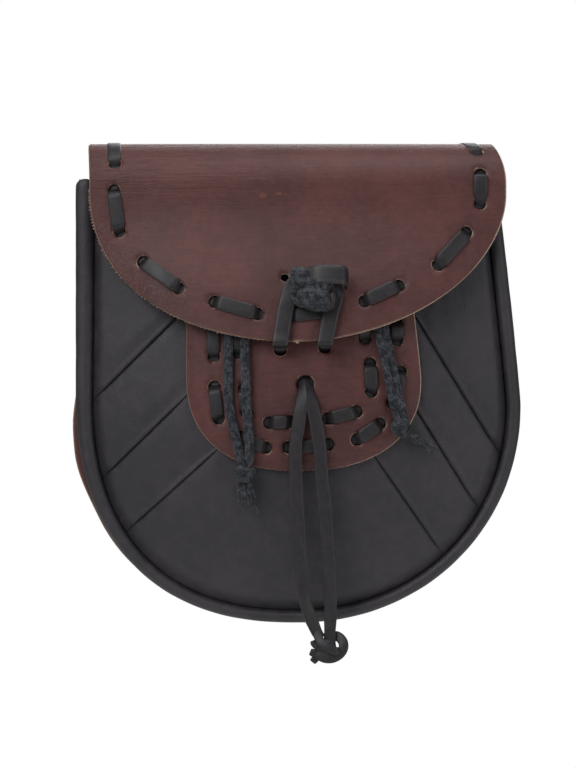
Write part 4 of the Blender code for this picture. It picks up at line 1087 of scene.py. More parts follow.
def ball(centre, axes, radii, lumps, seed):
    """Make a lumpy ball: an ellipsoid on three axes whose radius waves softly, in two sizes of waves."""
    polar = np.linspace(BALL_POLE, np.pi - BALL_POLE, BALL_ROWS)[:, None]
    around = np.linspace(0.0, 2 * np.pi, BALL_COLUMNS, endpoint=False)[None, :]
    large = waves(seed, 3 * around + 2 * polar, 2 * around - 3 * polar, 4 * polar + 0 * around)
    small = waves(seed + 50, 7 * around + 5 * polar, 5 * around - 9 * polar, 11 * polar + 2 * around)
    wave = 1.0 + lumps * (large + 0.45 * small) * np.sin(polar)
    first = (radii[0] * np.sin(polar) * np.cos(around) * wave)[..., None] * axes[0]
    second = (radii[1] * np.sin(polar) * np.sin(around) * wave)[..., None] * axes[1]
    third = (radii[2] * np.cos(polar) * wave)[..., None] * axes[2]
    points = (centre + first + second + third).reshape(-1, 3)
    faces = grid_quads(BALL_ROWS, BALL_COLUMNS, True).tolist() + end_caps(BALL_ROWS, BALL_COLUMNS)
    if np.dot(np.cross(axes[0], axes[1]), axes[2]) < 0.0:
        faces = [face[::-1] for face in faces]
    return Strip(points, faces, points[:, 2] - points[:, 2].min(), np.zeros(len(points)))


def strips_piece(name, strips, looks, look_numbers, nodes):
    """Join strips into one piece, each with its own finish."""
    faces = []
    face_looks = []
    offset = 0
    for part, number in zip(strips, look_numbers):
        faces += [[corner + offset for corner in face] for face in part.faces]
        face_looks += [number] * len(part.faces)
        offset += len(part.points)
    points = np.concatenate([part.points for part in strips])
    fields = {
        "along": np.concatenate([part.along for part in strips]),
        "across": np.concatenate([part.across for part in strips]),
    }
    return piece(name, points, faces, looks, nodes, fields, face_looks)


def fibres(name, roots, directions, lengths, radius, look, slot):
    """Grow thin three-sided spikes from their roots; each narrows to its tip and sinks a little."""
    shares = np.array([0.0, 0.35, 0.7, 1.0])
    sides = 3
    corners = sides * len(shares)
    along = unit(directions)
    across = unit(np.cross(along, (0.31, 0.9, 0.27)))
    beside = np.cross(along, across)
    spine = roots[:, None] + along[:, None] * (lengths[:, None] * shares)[..., None]
    spine = spine - np.array([0.0, 0.0, 1.0]) * (FIBRE_SAG * lengths[:, None] * shares**2)[..., None]
    turn = np.radians([90.0, 210.0, 330.0])
    ring = np.cos(turn)[:, None] * across[:, None] + np.sin(turn)[:, None] * beside[:, None]
    points = spine[:, :, None] + ring[:, None] * (radius * (1.0 - FIBRE_TAPER * shares))[None, :, None, None]
    body = grid_quads(len(shares), sides, True)[:, ::-1]
    starts = np.arange(len(roots)) * corners
    quads = (body[None] + starts[:, None, None]).reshape(-1, 4)
    root_cap, tip_cap = end_caps(len(shares), sides)
    root_caps = np.array(root_cap) + starts[:, None]
    tip_caps = np.array(tip_cap) + starts[:, None]
    faces = quads.tolist() + root_caps.tolist() + tip_caps.tolist()
    return piece(name, points.reshape(-1, 3), faces, [look], [])


def smooth_line(points, spacing):
    """Read a smooth curve through the points at even spacing, and where each place lies between them.

    Between two points it is a cubic, whose slope at a point is half the step between its neighbours.
    """
    points = np.asarray(points, float)
    padded = np.concatenate([2 * points[:1] - points[1:2], points, 2 * points[-1:] - points[-2:-1]])
    share = np.linspace(0.0, 1.0, LINE_PLACES, endpoint=False)[None, :, None]
    slope_in = (padded[2:-1] - padded[:-3])[:, None] / 2
    slope_out = (padded[3:] - padded[1:-2])[:, None] / 2
    curve = mix(padded[1:-2, None], padded[2:-1, None], smooth(share))
    curve = curve + share * (1.0 - share) ** 2 * slope_in + share**2 * (share - 1.0) * slope_out
    curve = np.concatenate([curve.reshape(-1, 3), points[-1:]])
    numbers = (np.arange(len(points) - 1)[:, None] + share[0, :, 0]).ravel()
    numbers = np.concatenate([numbers, [len(points) - 1.0]])
    travel = np.concatenate([[0.0], np.cumsum(np.linalg.norm(np.diff(curve, axis=0), axis=1))])
    even = np.linspace(0.0, travel[-1], max(int(travel[-1] / spacing), 4) + 1)
    line = np.column_stack([np.interp(even, travel, curve[:, axis]) for axis in range(3)])
    return line, np.interp(even, travel, numbers)


def camera():
    """A long lens straight in front, framed as the photograph."""
    data = bpy.data.cameras.new("front_camera")
    data.sensor_width = SENSOR
    data.lens = SENSOR * VIEW_DISTANCE / VIEW_HEIGHT
    data.clip_end = CLIP_END
    item = bpy.data.objects.new("front_camera", data)
    x, y, z = VIEW_CENTRE
    item.location = Vector((x, y - VIEW_DISTANCE, z)) * TO_METRES
    item.rotation_euler = (np.pi / 2, 0.0, 0.0)
    bpy.context.collection.objects.link(item)
    bpy.context.scene.camera = item


def hang_lamp(lamp):
    """A soft rectangular light that looks at the pouch."""
    data = bpy.data.lights.new(lamp.name, "AREA")
    data.shape = "RECTANGLE"
    data.size, data.size_y = lamp.size
    data.energy = lamp.power
    item = bpy.data.objects.new(lamp.name, data)
    item.location = lamp.where
    item.rotation_euler = (Vector(LAMP_AIM) - item.location).to_track_quat("-Z", "Y").to_euler()
    bpy.context.collection.objects.link(item)


def studio():
    """White surroundings that shine softly, four lamps and a pale floor below."""
    world = bpy.data.worlds.new("white_studio")
    world.use_nodes = True
    nodes = world.node_tree.nodes
    back = nodes["Background"]
    path = nodes.new("ShaderNodeLightPath")
    strength = nodes.new("ShaderNodeMapRange")
    strength.inputs["To Min"].default_value = WORLD_STRENGTH
    strength.inputs["To Max"].default_value = WORLD_STRENGTH_SEEN
    world.node_tree.links.new(path.outputs["Is Camera Ray"], strength.inputs["Value"])
    world.node_tree.links.new(strength.outputs["Result"], back.inputs["Strength"])
    back.inputs["Color"].default_value = (1.0, 1.0, 1.0, 1.0)
    bpy.context.scene.world = world
    bpy.context.scene.view_settings.view_transform = "Standard"
    for lamp in LAMPS:
        hang_lamp(lamp)
    corners = np.array(FLOOR_CORNERS, float)
    points = np.column_stack([corners, np.full(len(corners), FLOOR_Z)]) * TO_METRES
    mesh = bpy.data.meshes.new("pale_floor")
    mesh.from_pydata(points.tolist(), [], [range(len(corners))])
    mesh.materials.append(plain_floor().material)
    floor = bpy.data.objects.new("pale_floor", mesh)
    bpy.context.collection.objects.link(floor)


def turned_sides(line, turns):
    """Point a flat strip's width to the right, turned about its own line by the degrees in the table."""
    tangents = unit(np.gradient(line, axis=0))
    right = np.tile((1.0, 0.0, 0.0), (len(line), 1))
    flat = unit(right - tangents * np.sum(right * tangents, axis=1, keepdims=True))
    shares = np.linspace(0.0, 1.0, len(line))
    angle = np.radians(np.interp(shares, [turn.share for turn in turns], [turn.degrees for turn in turns]))
    return flat * np.cos(angle)[:, None] + np.cross(tangents, flat) * np.sin(angle)[:, None]


def hanging_strip(name, node, route, turns, width, thickness, looks, centre, shift=0.0):
    """It lies beside the route by shift * exp(-((share - SHIFT_SHARE) / SHIFT_SPREAD) ** 2).
    """
    points = place(*np.array(route).T)
    inside = points[-1:] + unit(place(*centre) - points[-1:]) * KNOT_ENTRY
    line, _ = smooth_line(np.concatenate([points, inside]), CORD_SPACING)
    shares = np.linspace(0.0, 1.0, len(line))
    start = mix(CORD_START_PINCH, 1.0, smooth(shares / PINCH_SHARE))
    end = mix(CORD_END_PINCH, 1.0, smooth((1.0 - shares) / PINCH_SHARE))
    pinch = np.minimum(start, end)
    uneven = 1.0 + CORD_UNEVEN * waves(len(name), 23.0 * shares, 51.0 * shares, 90.0 * shares)
    beside = line.copy()
    beside[:, 0] += shift * np.exp(-(((shares - SHIFT_SHARE) / SHIFT_SPREAD) ** 2))
    flat = strip(beside, turned_sides(beside, turns), width * pinch * uneven, thickness, CORD_SECTION)
    item = strips_piece(name, [flat], looks, [0], [node])
    return line


def wrapped(centre, size, turn):
    """A turn round a knot: a circle on the unit ball, shifted along its axis and scaled to the knot."""
    axis = unit(np.array(turn.axis, float))
    first = unit(np.cross(axis, (0.0, 0.0, 1.0)))
    second = np.cross(axis, first)
    angle = np.linspace(0.0, 2 * np.pi, 56, endpoint=False)[:, None]
    around = first * np.cos(angle) + second * np.sin(angle)
    circle = axis * turn.shift + np.sqrt(1.0 - turn.shift**2) * around
    points = centre + circle * size
    sides = np.tile(axis, (len(points), 1))
    return strip(points, sides, turn.width, TURN_THICKNESS, TURN_SECTION, closed=True)


def tie(points, width, thickness):
    """A flat band of a knot whose face looks forwards."""
    line, _ = smooth_line(place(*np.array(points).T), TIE_SPACING)
    shares = np.linspace(0.0, 1.0, len(line))
    from_end = np.minimum(shares, 1.0 - shares)
    widths = width * mix(TIE_PINCH, 1.0, smooth(from_end / TIE_PINCH_SHARE))
    sides = np.cross(np.gradient(line, axis=0), (0.0, 1.0, 0.0))
    return strip(line, sides, widths, thickness, TIE_SECTION)


def strand(start, tip, seed):
    """One loose strand of a cord's end, wavy and thinner towards its tip."""
    random = np.random.default_rng(seed)
    start, tip = place(*start), place(*tip)
    shares = np.linspace(0.0, 1.0, 5)[:, None]
    bends = random.uniform(-STRAND_BEND, STRAND_BEND, (len(shares), 3)) * np.sin(np.pi * shares)
    belly = np.array([0.0, -0.8, 0.0]) * np.sin(np.pi * shares)
    line, _ = smooth_line(mix(start, tip, shares) + bends + belly, STRAND_SPACING)
    even = np.linspace(0.0, 1.0, len(line))
    uneven = 1.0 + STRAND_UNEVEN * waves(seed, 29.0 * even, 53.0 * even)
    widths = STRAND_WIDTH * mix(*STRAND_TAPER, even) * uneven
    sides = np.cross(np.gradient(line, axis=0), (0.25, 1.0, 0.1))
    return strip(line, sides, widths, STRAND_THICKNESS, STRAND_SECTION), line


def suede_knot(name, node, centre, wraps, tips, nap, seed):
    """A tied suede knot: a lumpy core, turns round it and loose strands below it."""
    middle = place(*centre)
    axes = np.eye(3)
    size = np.array(SUEDE_KNOT_SIZE)
    strips = [ball(middle, axes, CORE_SHARE * size, KNOT_LUMPS, seed)]
    strips += [wrapped(middle, WRAP_SHARE * size, turn) for turn in wraps]
    surface = np.concatenate([part.points for part in strips])
    ends = []
    for number, tip in enumerate(tips):
        way = unit(np.array(tip, float) - centre) * STRAND_START
        spread = (number / (len(tips) - 1) - 0.5) * STRAND_SPREAD
        aside = (spread * way[2] / STRAND_START, 0.3, -spread * way[0] / STRAND_START)
        start = np.array(centre) + way + aside
        part, line = strand(start, tip, seed + number)
        strips.append(part)
        ends.append(line)
    item = strips_piece(name, strips, [nap], [0] * len(strips), [node])
    surface_nap(f"{name}_nap", surface, middle, KNOT_FIBRES, NAP_REACH, nap, "suede_cord", seed)
    return item, ends


def surface_nap(name, points, centre, count, reach, look, slot, seed):
    """Short fibres over a knot, pointing away from its middle and a little to all sides."""
    random = np.random.default_rng(seed)
    roots = points[random.integers(0, len(points), count)]
    ways = unit(roots - centre) + random.uniform(-0.6, 0.6, roots.shape)
    fibres(name, roots, ways, random.uniform(0.4, 1.0, count) * reach, NAP_RADIUS, look, slot)


def fuzz(name, lines, width, count, reach, look, slot, seed):
    """Short nap along cords: roots on their sides, pointing outwards and down."""
    random = np.random.default_rng(seed)
    line = np.concatenate([line[2:] for line in lines])
    number = random.integers(0, len(line), count)
    angle = random.uniform(0.0, 2 * np.pi, count)
    down = random.uniform(-0.9, 0.2, count)
    outward = np.stack([np.cos(angle), -np.abs(np.sin(angle)) * 0.7, down], axis=1)
    aside = [np.cos(angle) * width * 0.40, -0.3 * np.ones(count), np.zeros(count)]
    roots = line[number] + np.stack(aside, axis=1)
    lengths = random.uniform(0.4, 1.0, count) * reach
    fibres(name, roots, outward, lengths, CORD_NAP_RADIUS, look, slot)


def tip_fray(name, lines, width, count, reach, look, slot, seed):
    """Loose fibres at the tips of frayed tails, fanned round each tail's own direction."""
    random = np.random.default_rng(seed)
    roots = []
    ways = []
    for line in lines:
        way = unit(line[-1] - line[-6])
        side = unit(np.cross(way, (0.0, 1.0, 0.0)))
        spread = random.uniform(-1.0, 1.0, (count, 1))
        back = random.integers(1, 14, count)
        roots.append(line[-back] + side * spread * width * 0.45)
        ways.append(way + side * (spread * 0.5 + random.uniform(-0.35, 0.35, (count, 1))))
    lengths = random.uniform(0.45, 1.0, count * len(lines)) * reach
    fibres(name, np.concatenate(roots), np.concatenate(ways), lengths, FRAY_RADIUS, look, slot)


def thongs_and_cords(lace, nap):
    """The two thongs, the two pairs of cords, and their knots."""
    strips = [ball(place(*THONG_KNOT), np.eye(3), THONG_CORE, THONG_KNOT_LUMPS, 3)]
    strips += [tie(points, width, THONG_THICKNESS) for points, width in THONG_TIES]
    knot = strips_piece("thong_tied_knot", strips, [lace], [0] * len(strips), ["thong_knot"])
    hanging_strip("flat_thong_left", "thong_left", THONG_LEFT_ROUTE, THONG_LEFT_TURNS, THONG_WIDTH,
                  THONG_THICKNESS, [lace], THONG_KNOT, LEFT_SHIFT)
    hanging_strip("flat_thong_right", "thong_right", THONG_RIGHT_ROUTE, THONG_RIGHT_TURNS, THONG_WIDTH,
                  THONG_THICKNESS, [lace], THONG_KNOT, RIGHT_SHIFT)
    sets = (
        ("left", CORD_LEFT_KNOT, LEFT_WRAPS, CORD_LEFT_TIPS, (CORD_LEFT_A_ROUTE, CORD_LEFT_B_ROUTE),
         LEFT_CORD_TURNS, LEFT_CORD_WIDTH, LEFT_CORD_LENGTH, 11),
        ("right", CORD_RIGHT_KNOT, RIGHT_WRAPS, CORD_RIGHT_TIPS, (CORD_RIGHT_A_ROUTE, CORD_RIGHT_B_ROUTE),
         RIGHT_CORD_TURNS, RIGHT_CORD_WIDTH, RIGHT_CORD_LENGTH, 23),
    )
    for side, centre, wraps, tips, routes, turns, width, length, seed in sets:
        knot, ends = suede_knot(f"suede_knot_{side}", f"cord_{side}_knot", centre, wraps, tips, nap, seed)
        lines = []
        for letter, route in zip("ab", routes):
            line = hanging_strip(f"suede_cord_{side}_{letter}", f"cord_{side}_{letter}", route, turns,
                                 width, CORD_THICKNESS, [nap], centre)
            lines.append(line)
        fuzz(f"suede_nap_{side}", lines, width, CORD_FIBRES, CORD_NAP_REACH, nap, "suede_cord", seed + 1)
        tip_fray(f"suede_fray_{side}", ends, STRAND_WIDTH, TIP_FIBRES, FRAY_REACH, nap, "suede_cord",
                 seed + 2)


def wrap(brown, edge):
    """Back panel, roll and flap: each row is straight across between the wrap's two edges."""
    straight = BACK[0].straight_share * BACK[0].height
    turn = np.radians(np.linspace(89.0, 0.0, BACK_FOOT_ROWS))
    back = straight + (BACK[0].height - straight) * np.sin(turn)
    back = np.concatenate([back, np.linspace(straight, 0.0, BACK_ROWS)[1:-1]])
    flap = FLAP_DROP * np.sin(np.radians(np.linspace(1.2, 89.2, FLAP_ROWS)))
    stations = np.concatenate([-90.0 - back, np.linspace(-90.0, 90.0, ROLL_ROWS), 90.0 + flap])
    reaches = np.array([wrap_edges(station) for station in stations])
    x = mix(-reaches[:, :1], reaches[:, 1:], edge_dense(WRAP_COLUMNS, EDGE_CROWDING))
    grid = wrap_middle(x, np.broadcast_to(stations[:, None], x.shape))
    across, station = flap_holes().T
    centres = wrap_middle(np.append(across, BARE_HOLE[0]), np.append(station, BARE_HOLE[1]))
    radii = np.append(np.full(len(across), HOLE_DIAMETER / 2), BARE_HOLE_RADIUS)
    leather_wall("leather_wrap", grid, WRAP_WALL, [brown, edge], "back_and_flap",
                 centres, radii)
    rim_fuzz(grid, edge)


def rim_fuzz(grid, edge):
    """Loose pale fibres along the left and the foot of the flap's cut rim."""
    random = np.random.default_rng(5)
    left_rows = slice(-75, None)
    foot_columns = slice(0, 110)
    rim = np.concatenate([grid[left_rows, 0], grid[-1, foot_columns]])
    inside = np.concatenate([grid[left_rows, 4], grid[-5, foot_columns]])
    number = random.integers(0, len(rim), RIM_FIBRES)
    roots = rim[number]
    ways = unit(rim[number] - inside[number]) + random.uniform(-0.8, 0.8, (len(number), 3))
    lengths = random.uniform(0.35, 1.0, len(number))
    fibres("rim_fibres", roots, ways, lengths, RIM_FIBRE_RADIUS, edge, "burgundy_leather")


def bib(brown, edge):
    """The laced tab: each row is straight across, and follows the swell of the front."""
    straight = BIB[0].straight_share * BIB_HEIGHT
    drops = np.linspace(0.0, straight, BIB_ROWS)
    turn = np.radians(np.linspace(1.8, 89.0, BIB_FOOT_ROWS))
    drops = np.concatenate([drops, straight + (BIB_HEIGHT - straight) * np.sin(turn)])
    columns = edge_dense(BIB_COLUMNS, EDGE_CROWDING)
    x = mix(-reach_at(BIB[0], drops)[:, None], reach_at(BIB[1], drops)[:, None], columns)
    grid = bib_middle(x, np.broadcast_to(drops[:, None], x.shape))
    across, drop = bib_holes().T
    centre_x, centre_drop = front_place(CENTRE_HOLE, BIB_RIGHT_REACH, BIB_HEIGHT)
    centres = bib_middle(np.append(across, centre_x), np.append(drop, centre_drop))
    radii = np.append(np.full(len(across), HOLE_DIAMETER / 2), CENTRE_HOLE_DIAMETER / 2)
    leather_wall("leather_bib", grid, BIB_WALL, [brown, edge], "bib", centres, radii)


def pleat_height(distance):
    """A pleat's height round its fold line: a slow dip, a quick rise to a lip, a fall and a return.

    The dip eases down to PLEAT_DIP at the lip. The rise is exp(distance from the lip / PLEAT_RISE), and
    takes the lip to PLEAT_CREST. Below the lip the height goes back to 0 as exp(-distance / PLEAT_RETURN).
    """
    dip = -PLEAT_DIP * smooth((distance - PLEAT_START) / (-PLEAT_LIP - PLEAT_START))
    rise = dip + (PLEAT_CREST + PLEAT_DIP) * np.exp(np.minimum(distance + PLEAT_LIP, 0.0) / PLEAT_RISE)
    fall = mix(PLEAT_CREST, PLEAT_VALLEY, smooth((distance + PLEAT_LIP) / (2 * PLEAT_LIP)))
    back = PLEAT_VALLEY * np.exp(-np.maximum(distance - PLEAT_LIP, 0.0) / PLEAT_RETURN)
    back = back * smooth((PLEAT_END - distance) / PLEAT_RETURN)
    return np.where(distance < -PLEAT_LIP, rise, np.where(distance < PLEAT_LIP, fall, back))


def pleat_rows():
    """List the panel's rows: shares of the left edge and core and the right edge and core, and height."""
    lengths = [edge_curve(edge)[2] for edge in (BODY[0], CORE[0], BODY[1], CORE[0])]
    near = PLEAT_LIP * np.linspace(-1.0, 1.0, PLEAT_LIP_ROWS)
    rows_above = np.linspace(1.0, 0.06, PLEAT_ABOVE_ROWS) ** 1.4
    rows_below = np.linspace(0.08, 1.0, PLEAT_BELOW_ROWS) ** 1.6
    above = -PLEAT_LIP + (PLEAT_START + PLEAT_LIP) * rows_above
    below = PLEAT_LIP + (PLEAT_END - PLEAT_LIP) * rows_below
    distances = np.concatenate([above, near, below])
    spread = np.array([1.0, CORE_SPREAD, 1.0, CORE_SPREAD]) / lengths
    blocks = [np.zeros((1, 5))]
    for pleat in PLEATS:
        shares = np.array(pleat) + distances[:, None] * spread
        blocks.append(np.column_stack([shares, pleat_height(distances)]))
    blocks.append(np.array([[1.0, 1.0, 1.0, 1.0, 0.0]]))
    rows = [blocks[0]]
    for before, after, count in zip(blocks, blocks[1:], ROWS_BETWEEN_PLEATS):
        between = np.linspace(0.0, 1.0, count + 2)[1:-1, None]
        rows.append(mix(before[-1:], after[:1], between))
        rows.append(after)
    return np.concatenate(rows)


def front_panel(black):
    """The swelling, pleated front: rows run from the left edge over the core to the right edge."""
    rows = pleat_rows()
    columns = 1.0 - (1.0 - np.linspace(0.0, 1.0, PANEL_SIDE_COLUMNS)) ** COLUMN_CROWDING
    halves = []
    for number, edge in enumerate(BODY):
        edge_share, core_share = rows[:, 2 * number], rows[:, 2 * number + 1]
        edge_x, edge_drop = along_edge(edge, edge_share, binding_width(number, edge_share) + GAP)
        core_x, core_drop = along_edge(CORE[number], core_share, 0.0)
        half_x = mix(edge_x[:, None], core_x[:, None], columns)
        half_drop = mix(edge_drop[:, None], core_drop[:, None], columns)
        halves.append((half_x, half_drop))
    (left_x, left_drop), (right_x, right_drop) = halves
    middle = np.linspace(0.0, 1.0, PANEL_MIDDLE_COLUMNS)[1:-1]
    x = np.concatenate([left_x, mix(left_x[:, -1:], right_x[:, -1:], middle), right_x[:, ::-1]], axis=1)
    centre_drop = mix(left_drop[:, -1:], right_drop[:, -1:], middle)
    drop = np.concatenate([left_drop, centre_drop, right_drop[:, ::-1]], axis=1)
    drop[0] = 0.0
    x[-1] = 0.0
    drop[-1] = (drop[-1] + drop[-1, ::-1]) / 2
    across = np.concatenate([columns, np.ones(len(middle)), columns[::-1]])
    at_seam = mix(PLEAT_SEAM_SHARE, 1.0, smooth(across / PLEAT_SEAM_REACH))
    fade = smooth((PLEAT_REACH - across) / PLEAT_FADE) * at_seam
    tuck = PANEL_TUCK * (1.0 - smooth(across / TUCK_REACH))
    ripples = waves(8, x / 21.0 + drop / 47.0, x / 33.0 - drop / 26.0, drop / 17.0)
    slack = PANEL_SLACK * ripples * smooth(across / 0.2)
    forward = FRONT + dome(x, drop, BINDING_WIDTH) + slack - tuck - PANEL_WALL / 2
    grid = place(x, forward + PLEAT_HEIGHT * rows[:, 4:] * fade, drop)
    base = place(x, forward, drop)
    leather_wall("pleated_front", grid, PANEL_WALL, [black], "front_panel", base=base)


def gusset(black):
    """The side and bottom wall, bowed outwards and softly puckered along its seams."""
    columns = []
    places = np.linspace(0.0, 1.0, GUSSET_ROWS)
    for share in np.linspace(0.0, 1.0, GUSSET_COLUMNS):
        bow = GUSSET_BOW * np.sin(np.pi * share)
        pucker = PUCKER_DEPTH * np.sin(places * PUCKER_WAVES) * abs(2 * share - 1.0) ** 3
        inset = GUSSET_INSET + GUSSET_WALL / 2 - bow + pucker
        x, drop = chain(BODY, GUSSET_ROWS, inset, inset)
        forward = mix(GUSSET_BACK - GAP, GUSSET_FRONT + GUSSET_TUCK, share)
        columns.append(place(x, forward, raised_corner(x, drop)))
    leather_wall("side_gusset", np.stack(columns, axis=1), GUSSET_WALL, [black], "gusset")


def binding(black):
    """The rounded roll of leather round the front: an ellipse carried along the body's edge.

    At each end it rounds off as a quarter circle over the first BINDING_END rows.
    """
    shares = np.linspace(0.0, 1.0, BINDING_ROWS)
    uneven = 1.0 + BINDING_UNEVEN * waves(4, shares * 61.0, shares * 113.0, shares * 37.0)
    left, right = binding_width(0, shares) / 2, binding_width(1, shares) / 2
    middle_x, middle_drop = chain(BODY, BINDING_ROWS, left, right)
    number = np.arange(len(middle_x))
    from_end = np.minimum(number, number[::-1])
    ends = np.sqrt(1.0 - (1.0 - np.clip((from_end + 0.12) / BINDING_END, 0.0, 1.0)) ** 2)
    loops = []
    for angle in np.linspace(0.0, 2 * np.pi, BINDING_COLUMNS, endpoint=False):
        inwards = 1.0 - uneven * np.cos(angle)
        x, drop = chain(BODY, BINDING_ROWS, left * inwards, right * inwards)
        forward = BINDING_MIDDLE + BINDING_DEPTH / 2 * np.sin(angle) * ends
        x = mix(middle_x, x, ends)
        loops.append(place(x, forward, raised_corner(x, mix(middle_drop, drop, ends))))
    grid = np.stack(loops, axis=1)
    rows, columns = grid.shape[:2]
    faces = grid_quads(rows, columns, True).tolist() + end_caps(rows, columns)
    piece("edge_roll", grid.reshape(-1, 3), faces, [black], ["edge_binding"])


def running_lace(name, node, surface, wall, holes, width, press, lace):
    """A flat lace in a running stitch: over the wall between one pair of holes, behind it to the next.

    With s the distance from a hole's centre, below 0 away from the visible stitch, its level above the
    wall's middle is lift * (2 * ease((s + DIP_SHIFT + DIP_SPAN) / (2 * DIP_SPAN)) - 1), so it dips on
    the far side of the hole. Its first and last ends stop behind the wall. On the roll it is pressed
    into the leather by the press, which eases off towards the roll's two ends.
    """
    lift = wall / 2 + LACE_STAND
    places = []
    levels = []
    widths = []
    last = len(holes) - 2
    for number, (start, end) in enumerate(zip(holes, holes[1:])):
        samples = mix(start, end, np.linspace(0.0, 1.0, 12)[:, None])
        length = np.linalg.norm(np.diff(surface(samples[:, 0], samples[:, 1]), axis=0), axis=1).sum()
        first_share = -LACE_END / length if number == 0 else 0.0
        last_share = 1.0 + LACE_END / length if number == last else 1.0
        count = max(int(length / LACE_SPACING), 8)
        shares = np.linspace(first_share, last_share, count + 1)[:-1 if number < last else None]
        near = np.minimum(shares, 1.0 - shares) * length
        seen = 1.0 if number % 2 == 0 else -1.0
        dip = smooth((seen * near + DIP_SHIFT + DIP_SPAN) / (2 * DIP_SPAN))
        swell = LACE_SWELL * np.sin(np.pi * np.clip(shares, 0.0, 1.0))
        places.append(mix(start, end, shares[:, None]))
        pressed = press * smooth((90.0 - np.abs(places[-1][:, 1])) / FOLD_PRESS_EASE) * dip
        levels.append(lift * (2.0 * dip - 1.0) + seen * swell - pressed)
        widths.append(mix(HOLE_LACE_WIDTH, width, smooth(near / WIDTH_RUN)))
    places = np.concatenate(places)
    base, outward = frame_at(surface, places[:, 0], places[:, 1])
    heading = unit(np.gradient(base, axis=0))
    reach = 5
    window = 2 * reach + 1
    padded = np.pad(heading, ((reach, reach), (0, 0)), mode="edge")
    heading = sum(padded[shift:shift + len(base)] for shift in range(window)) / window
    line = base + outward * np.concatenate(levels)[:, None]
    flat = strip(line, np.cross(outward, heading), np.concatenate(widths), LACE_THICKNESS, LACE_SECTION)
    strips_piece(name, [flat], [lace], [0], [node])


def closure_leg(hole, side, top_x):
    """List one leg's surfaces and places on them, from behind the bib up to beside the button."""
    x, drop = front_place(hole, BIB_RIGHT_REACH, BIB_HEIGHT)
    rim = 90.0 + FLAP_DROP
    under = BIB_WALL / 2 + LACE_LEVEL
    over_lace = WRAP_WALL / 2 + 3 * LACE_LEVEL
    across = (side, 0.0, 0.0)
    places = [(bib_middle, x, drop + CLOSURE_TAIL, -under, across), (bib_middle, x, drop, 0.0, across)]
    places.append((bib_middle, x, drop - CLOSURE_RISE, under, across))
    for step in CLOSURE_STEPS:
        places.append((wrap_middle, mix(x, top_x, step.lean), rim - step.above_rim, over_lace, across))
    button_drop = front_place(BUTTON_PLACE, FLAP_REACH, FLAP_DROP)[1]
    leg_x = mix(x, top_x, CLOSURE_LEG_LEAN)
    places.append((wrap_middle, leg_x, 90.0 + button_drop + CLOSURE_LEG_END, over_lace, across))
    return places


def closure(lace):
    """The strap from two holes of the bib, up over the flap's rim and round the button's neck."""
    button_x, button_drop = front_place(BUTTON_PLACE, FLAP_REACH, FLAP_DROP)
    round_neck = WRAP_WALL / 2 + LACE_LEVEL + 3 * GAP
    places = closure_leg(CLOSURE_LEFT_HOLE, -1.0, button_x - CLOSURE_HALF_WIDTH)
    for angle in np.radians(CLOSURE_TURN):
        station = 90.0 + button_drop + NECK_SAG - CLOSURE_HALF_HEIGHT * np.sin(angle)
        across = (np.cos(angle), 0.0, np.sin(angle))
        x = button_x + CLOSURE_HALF_WIDTH * np.cos(angle)
        places.append((wrap_middle, x, station, round_neck, across))
    places += reversed(closure_leg(CLOSURE_RIGHT_HOLE, 1.0, button_x + CLOSURE_HALF_WIDTH))
    points = []
    for surface, x, along, level, _ in places:
        point, outward = frame_at(surface, x, along)
        points.append(point + outward * level)
    line, numbers = smooth_line(points, CORD_SPACING)
    table = np.array([across for *_, across in places])
    every = np.arange(len(places))
    sides = np.column_stack([np.interp(numbers, every, table[:, axis]) for axis in range(3)])
    from_end = np.minimum(numbers, len(places) - 1 - numbers)
    widths = mix(HOLE_LACE_WIDTH, CLOSURE_WIDTH, smooth((from_end - 0.8) / 1.6))
    widths = widths * (1.0 - CLOSURE_PINCH * smooth((from_end - 6.0) / 2.0))
    flat = strip(line, sides, widths, LACE_THICKNESS, LACE_SECTION)
    strips_piece("closure_strap", [flat], [lace], [0], ["closure_loop"])


